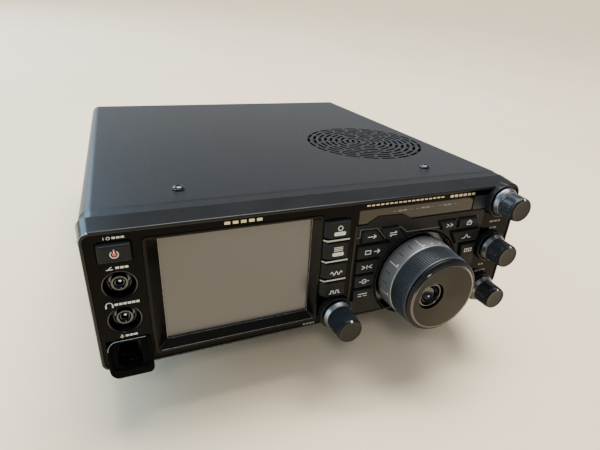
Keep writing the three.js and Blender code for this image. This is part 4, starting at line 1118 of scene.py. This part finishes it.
def finger_cup(box):
    """A glossy black bowl with a thin bright rim."""
    lip = box.y0
    radius = (box.x1 - box.x0) / 2
    bowl = []
    for k in range(13):
        angle = math.pi / 2 * k / 12
        bowl.append((5.7 * math.sin(angle), lip + 0.65 + 5.4 * math.cos(angle)))
    outside = [(5.85, lip + 0.42), (6.5, lip + 0.3), (6.9, lip + 0.45), (radius, lip + 0.9), (radius, -14.3),
               (0, -14.3)]
    form = Form().lathe(bowl + outside, 96, axis_of(box))
    make("finger_cup_bowl", form, CUP, body="tuning_dial", node="finger_cup", origin=(box.x, 0, box.z))
    profile = [(5.75, lip + 0.8), (5.78, lip + 0.2), (5.9, lip + 0.04), (6.08, lip), (6.26, lip + 0.04),
               (6.38, lip + 0.2), (6.4, lip + 0.8)]
    rim = Form().lathe(profile, 96, axis_of(box), looped=True)
    make("finger_cup_rim", rim, DARK_BUSH, body="tuning_dial", origin=(box.x, 0, box.z))


def small_knobs():
    for node, box in KNOBS.items():
        front = box.y0
        straight = node == "multi_knob"
        count = 40 if straight else 52
        depth = 0.38 if straight else 0.26
        body = [(0, front + 0.22), (4.9, front + 0.2), (5.4, front + 0.12), (5.7, front + 0.02), (5.9, front),
                (6.15, front + 0.08), (6.4, front + 0.3), (6.58, front + 0.65), (6.66, front + 1.1),
                (6.64, front + 1.2)]
        ribbed = [(6.72, front + 1.35)]
        first, last = front + 1.4, -6.6
        steps = 1 if straight else 6
        for k in range(steps):
            start, end = (first + (last - first) * (k + i) / steps for i in (0, 1))
            near, far = (6.72 + 0.33 * (y - front) / (last - front) for y in (start, end))
            ribbed += [(near, start + 0.08), (far, end - 0.22)]
            if k + 1 < steps:
                ribbed += [(far - 0.16, end - 0.12), (far - 0.16, end - 0.02)]
        profile = [(0, front + 1.1), (6.5, front + 1.15)] + ribbed + [(7.0, -6.4), (6.9, -6.0), (0, -6.0)]
        profile = [(radius, y, (radius, y) in ribbed) for radius, y in profile]
        centre, origin = axis_of(box), (box.x, 0, box.z)
        grip = Form().ribbed(profile, count, depth, centre)
        make(node + "_grip", grip, RIBS, body=node, node=node, origin=origin, sharp=48)
        face = body + [(6.5, front + 1.3), (0, front + 1.3)]
        make(node + "_face", Form().lathe(face, 96, centre), KNOB, body=node, origin=origin)
        band = [(0, -6.5), (7.1, -6.5), (7.25, -6.4), (8.15, -4.75), (8.26, -4.5), (8.3, -4.2), (8.3, -3.8),
                (8.15, -3.6), (3, -3.6), (3, 9), (0, 9)]
        make(node + "_band", Form().lathe(band, 96, centre), POLISHED, body=node, origin=origin)
        tilt = Vector((0, -0.62, 0.78)).normalized()
        side, along = Vector((1, 0, 0)), Vector((1, 0, 0)).cross(tilt)
        spot = Vector((box.x, front + 0.3, box.z + 6.25))
        pointer = Form()
        dot(pointer, spot, tilt, side, along, 0.58, 20, ((1.0, -0.4), (1.0, 0.06), (0.65, 0.12)))
        make(node + "_pointer", pointer, INK, body=node)


# ---- Inside and back: carried-over CAD parts with their own finishes ----
def finish_cad_parts():
    finishes = {
        # The dial's encoder, an alloy part, takes the black oxide finish so that the gap round the dial shows
        # dark: painted shade.
        "chassis": ALLOY, "dial_encoder": SCREW, "display_module": MODULE, "front_board": BOARD,
        "main_board": BOARD, "amplifier_board": BOARD, "speaker": CONE, "fan_housing": SOCKET,
        "fan_rotor": SOCKET, "rear_heatsink": HEATSINK, "antenna_socket_hf": NICKEL,
        "antenna_socket_vhf": NICKEL, "ground_terminal": BRASS, "power_inlet": SOCKET,
        "serial_socket": NICKEL, "usb_socket": NICKEL, "data_socket": SOCKET, "tuner_socket": SOCKET,
        "speaker_jack": SOCKET, "rear_foot_left": FOOT, "rear_foot_right": FOOT,
        "front_foot_left": FOOT, "front_foot_right": FOOT, "bail_stand": NICKEL,
    }
    for node, paint in finishes.items():
        materials = frame["nodes"][node].data.materials
        materials.clear()
        materials.append(paint)


# ---- Studio ----
def camera():
    data = bpy.data.cameras.new("camera")
    data.lens = 25.52
    data.sensor_width = 36
    data.clip_start = 0.01
    obj = bpy.data.objects.new("camera", data)
    bpy.context.scene.collection.objects.link(obj)
    look = Vector((0.35759, 0.82627, -0.43522))
    side = Vector((0.92609, -0.37379, 0.05128))
    top = side.cross(look)
    axes = Matrix((side, top, -look)).transposed().to_4x4()
    obj.matrix_world = CABINET @ Matrix.Translation(Vector((-91.8, -161.3, 146.8)) * MM) @ axes
    bpy.context.scene.camera = obj


def light(name, kind, direction, power, color):
    data = bpy.data.lights.new(name, kind)
    data.energy = power
    data.color = color
    obj = bpy.data.objects.new(name, data)
    bpy.context.scene.collection.objects.link(obj)
    obj.rotation_mode = "QUATERNION"
    obj.rotation_quaternion = direction.to_track_quat("-Z", "Y")
    return obj


def area_light(name, place, target, size, power, color):
    obj = light(name, "AREA", Vector(target) - Vector(place), power, color)
    obj.location = place
    obj.data.shape = "RECTANGLE"
    obj.data.size, obj.data.size_y = size


def studio():
    """A pale floor under a soft ceiling, a strip light, a small lamp and two windows on the left."""
    reach = 60000
    form = Form().box(-reach, reach, -reach, reach, -8, 0)
    floor = mesh_object("studio_floor", form, (0, 0, 0))
    floor.matrix_world = Matrix.Identity(4)
    paint = Paint("studio_floor", specular=0.2)
    paint.color(paint.noise(0.004, 4), (0.91, 0.74, 0.50), (0.95, 0.79, 0.56))
    paint.rough(paint.noise(0.02, 4), 0.6, 0.7)
    floor.data.materials.append(paint.material)

    world = bpy.data.worlds.new("studio")
    bpy.context.scene.world = world
    world.use_nodes = True
    nodes, links = world.node_tree.nodes, world.node_tree.links
    place = nodes.new("ShaderNodeTexCoord")
    parts = nodes.new("ShaderNodeSeparateXYZ")
    bands = nodes.new("ShaderNodeValToRGB")
    links.new(place.outputs["Generated"], parts.inputs["Vector"])
    links.new(parts.outputs["Z"], bands.inputs["Fac"])
    links.new(bands.outputs["Color"], nodes["Background"].inputs["Color"])
    ramp = bands.color_ramp
    ramp.elements[0].position, ramp.elements[0].color = 0.0, (0.82, 0.92, 1.0, 1)
    ramp.elements[1].position, ramp.elements[1].color = 1.0, (0.60, 0.60, 0.60, 1)
    for position, color in ((0.07, (0.62, 0.74, 0.86)), (0.24, (0.22, 0.235, 0.25)),
                            (0.6, (0.20, 0.205, 0.21))):
        ramp.elements.new(position).color = (*color, 1)
    nodes["Background"].inputs["Strength"].default_value = 1.0

    ceiling = light("ceiling", "SUN", Vector((-0.2, -0.32, -0.93)), 4.0, (1.0, 0.98, 0.95))
    ceiling.data.angle = math.radians(40)
    area_light("overhead_strip", (0.2, 0.28, 1.4), (0.1, -0.1, 0.05), (1.5, 0.12), 16, (1.0, 0.99, 0.97))
    area_light("front_lamp", (-0.36, -0.82, 1.0), (0.05, -0.12, 0.05), (0.22, 0.22), 2.4, (1.0, 0.98, 0.95))
    area_light("window_rear_left", (-0.75, 1.0, 0.75), (0.0, -0.1, 0.05), (0.9, 0.8), 20, (0.45, 0.72, 1.0))
    area_light("window_left", (-1.3, -0.25, 0.4), (-0.1, -0.1, 0.05), (0.6, 0.7), 8, (0.55, 0.78, 1.0))


for build in (camera, studio, covers, cover_screws, front_frame, front_fascia, knob_bosses, column_trims,
              control_panel, key_caps, key_marks, fascia_marks, display, indicator_window, microphone,
              front_jacks, tuning_dial, small_knobs, finish_cad_parts):
    build()
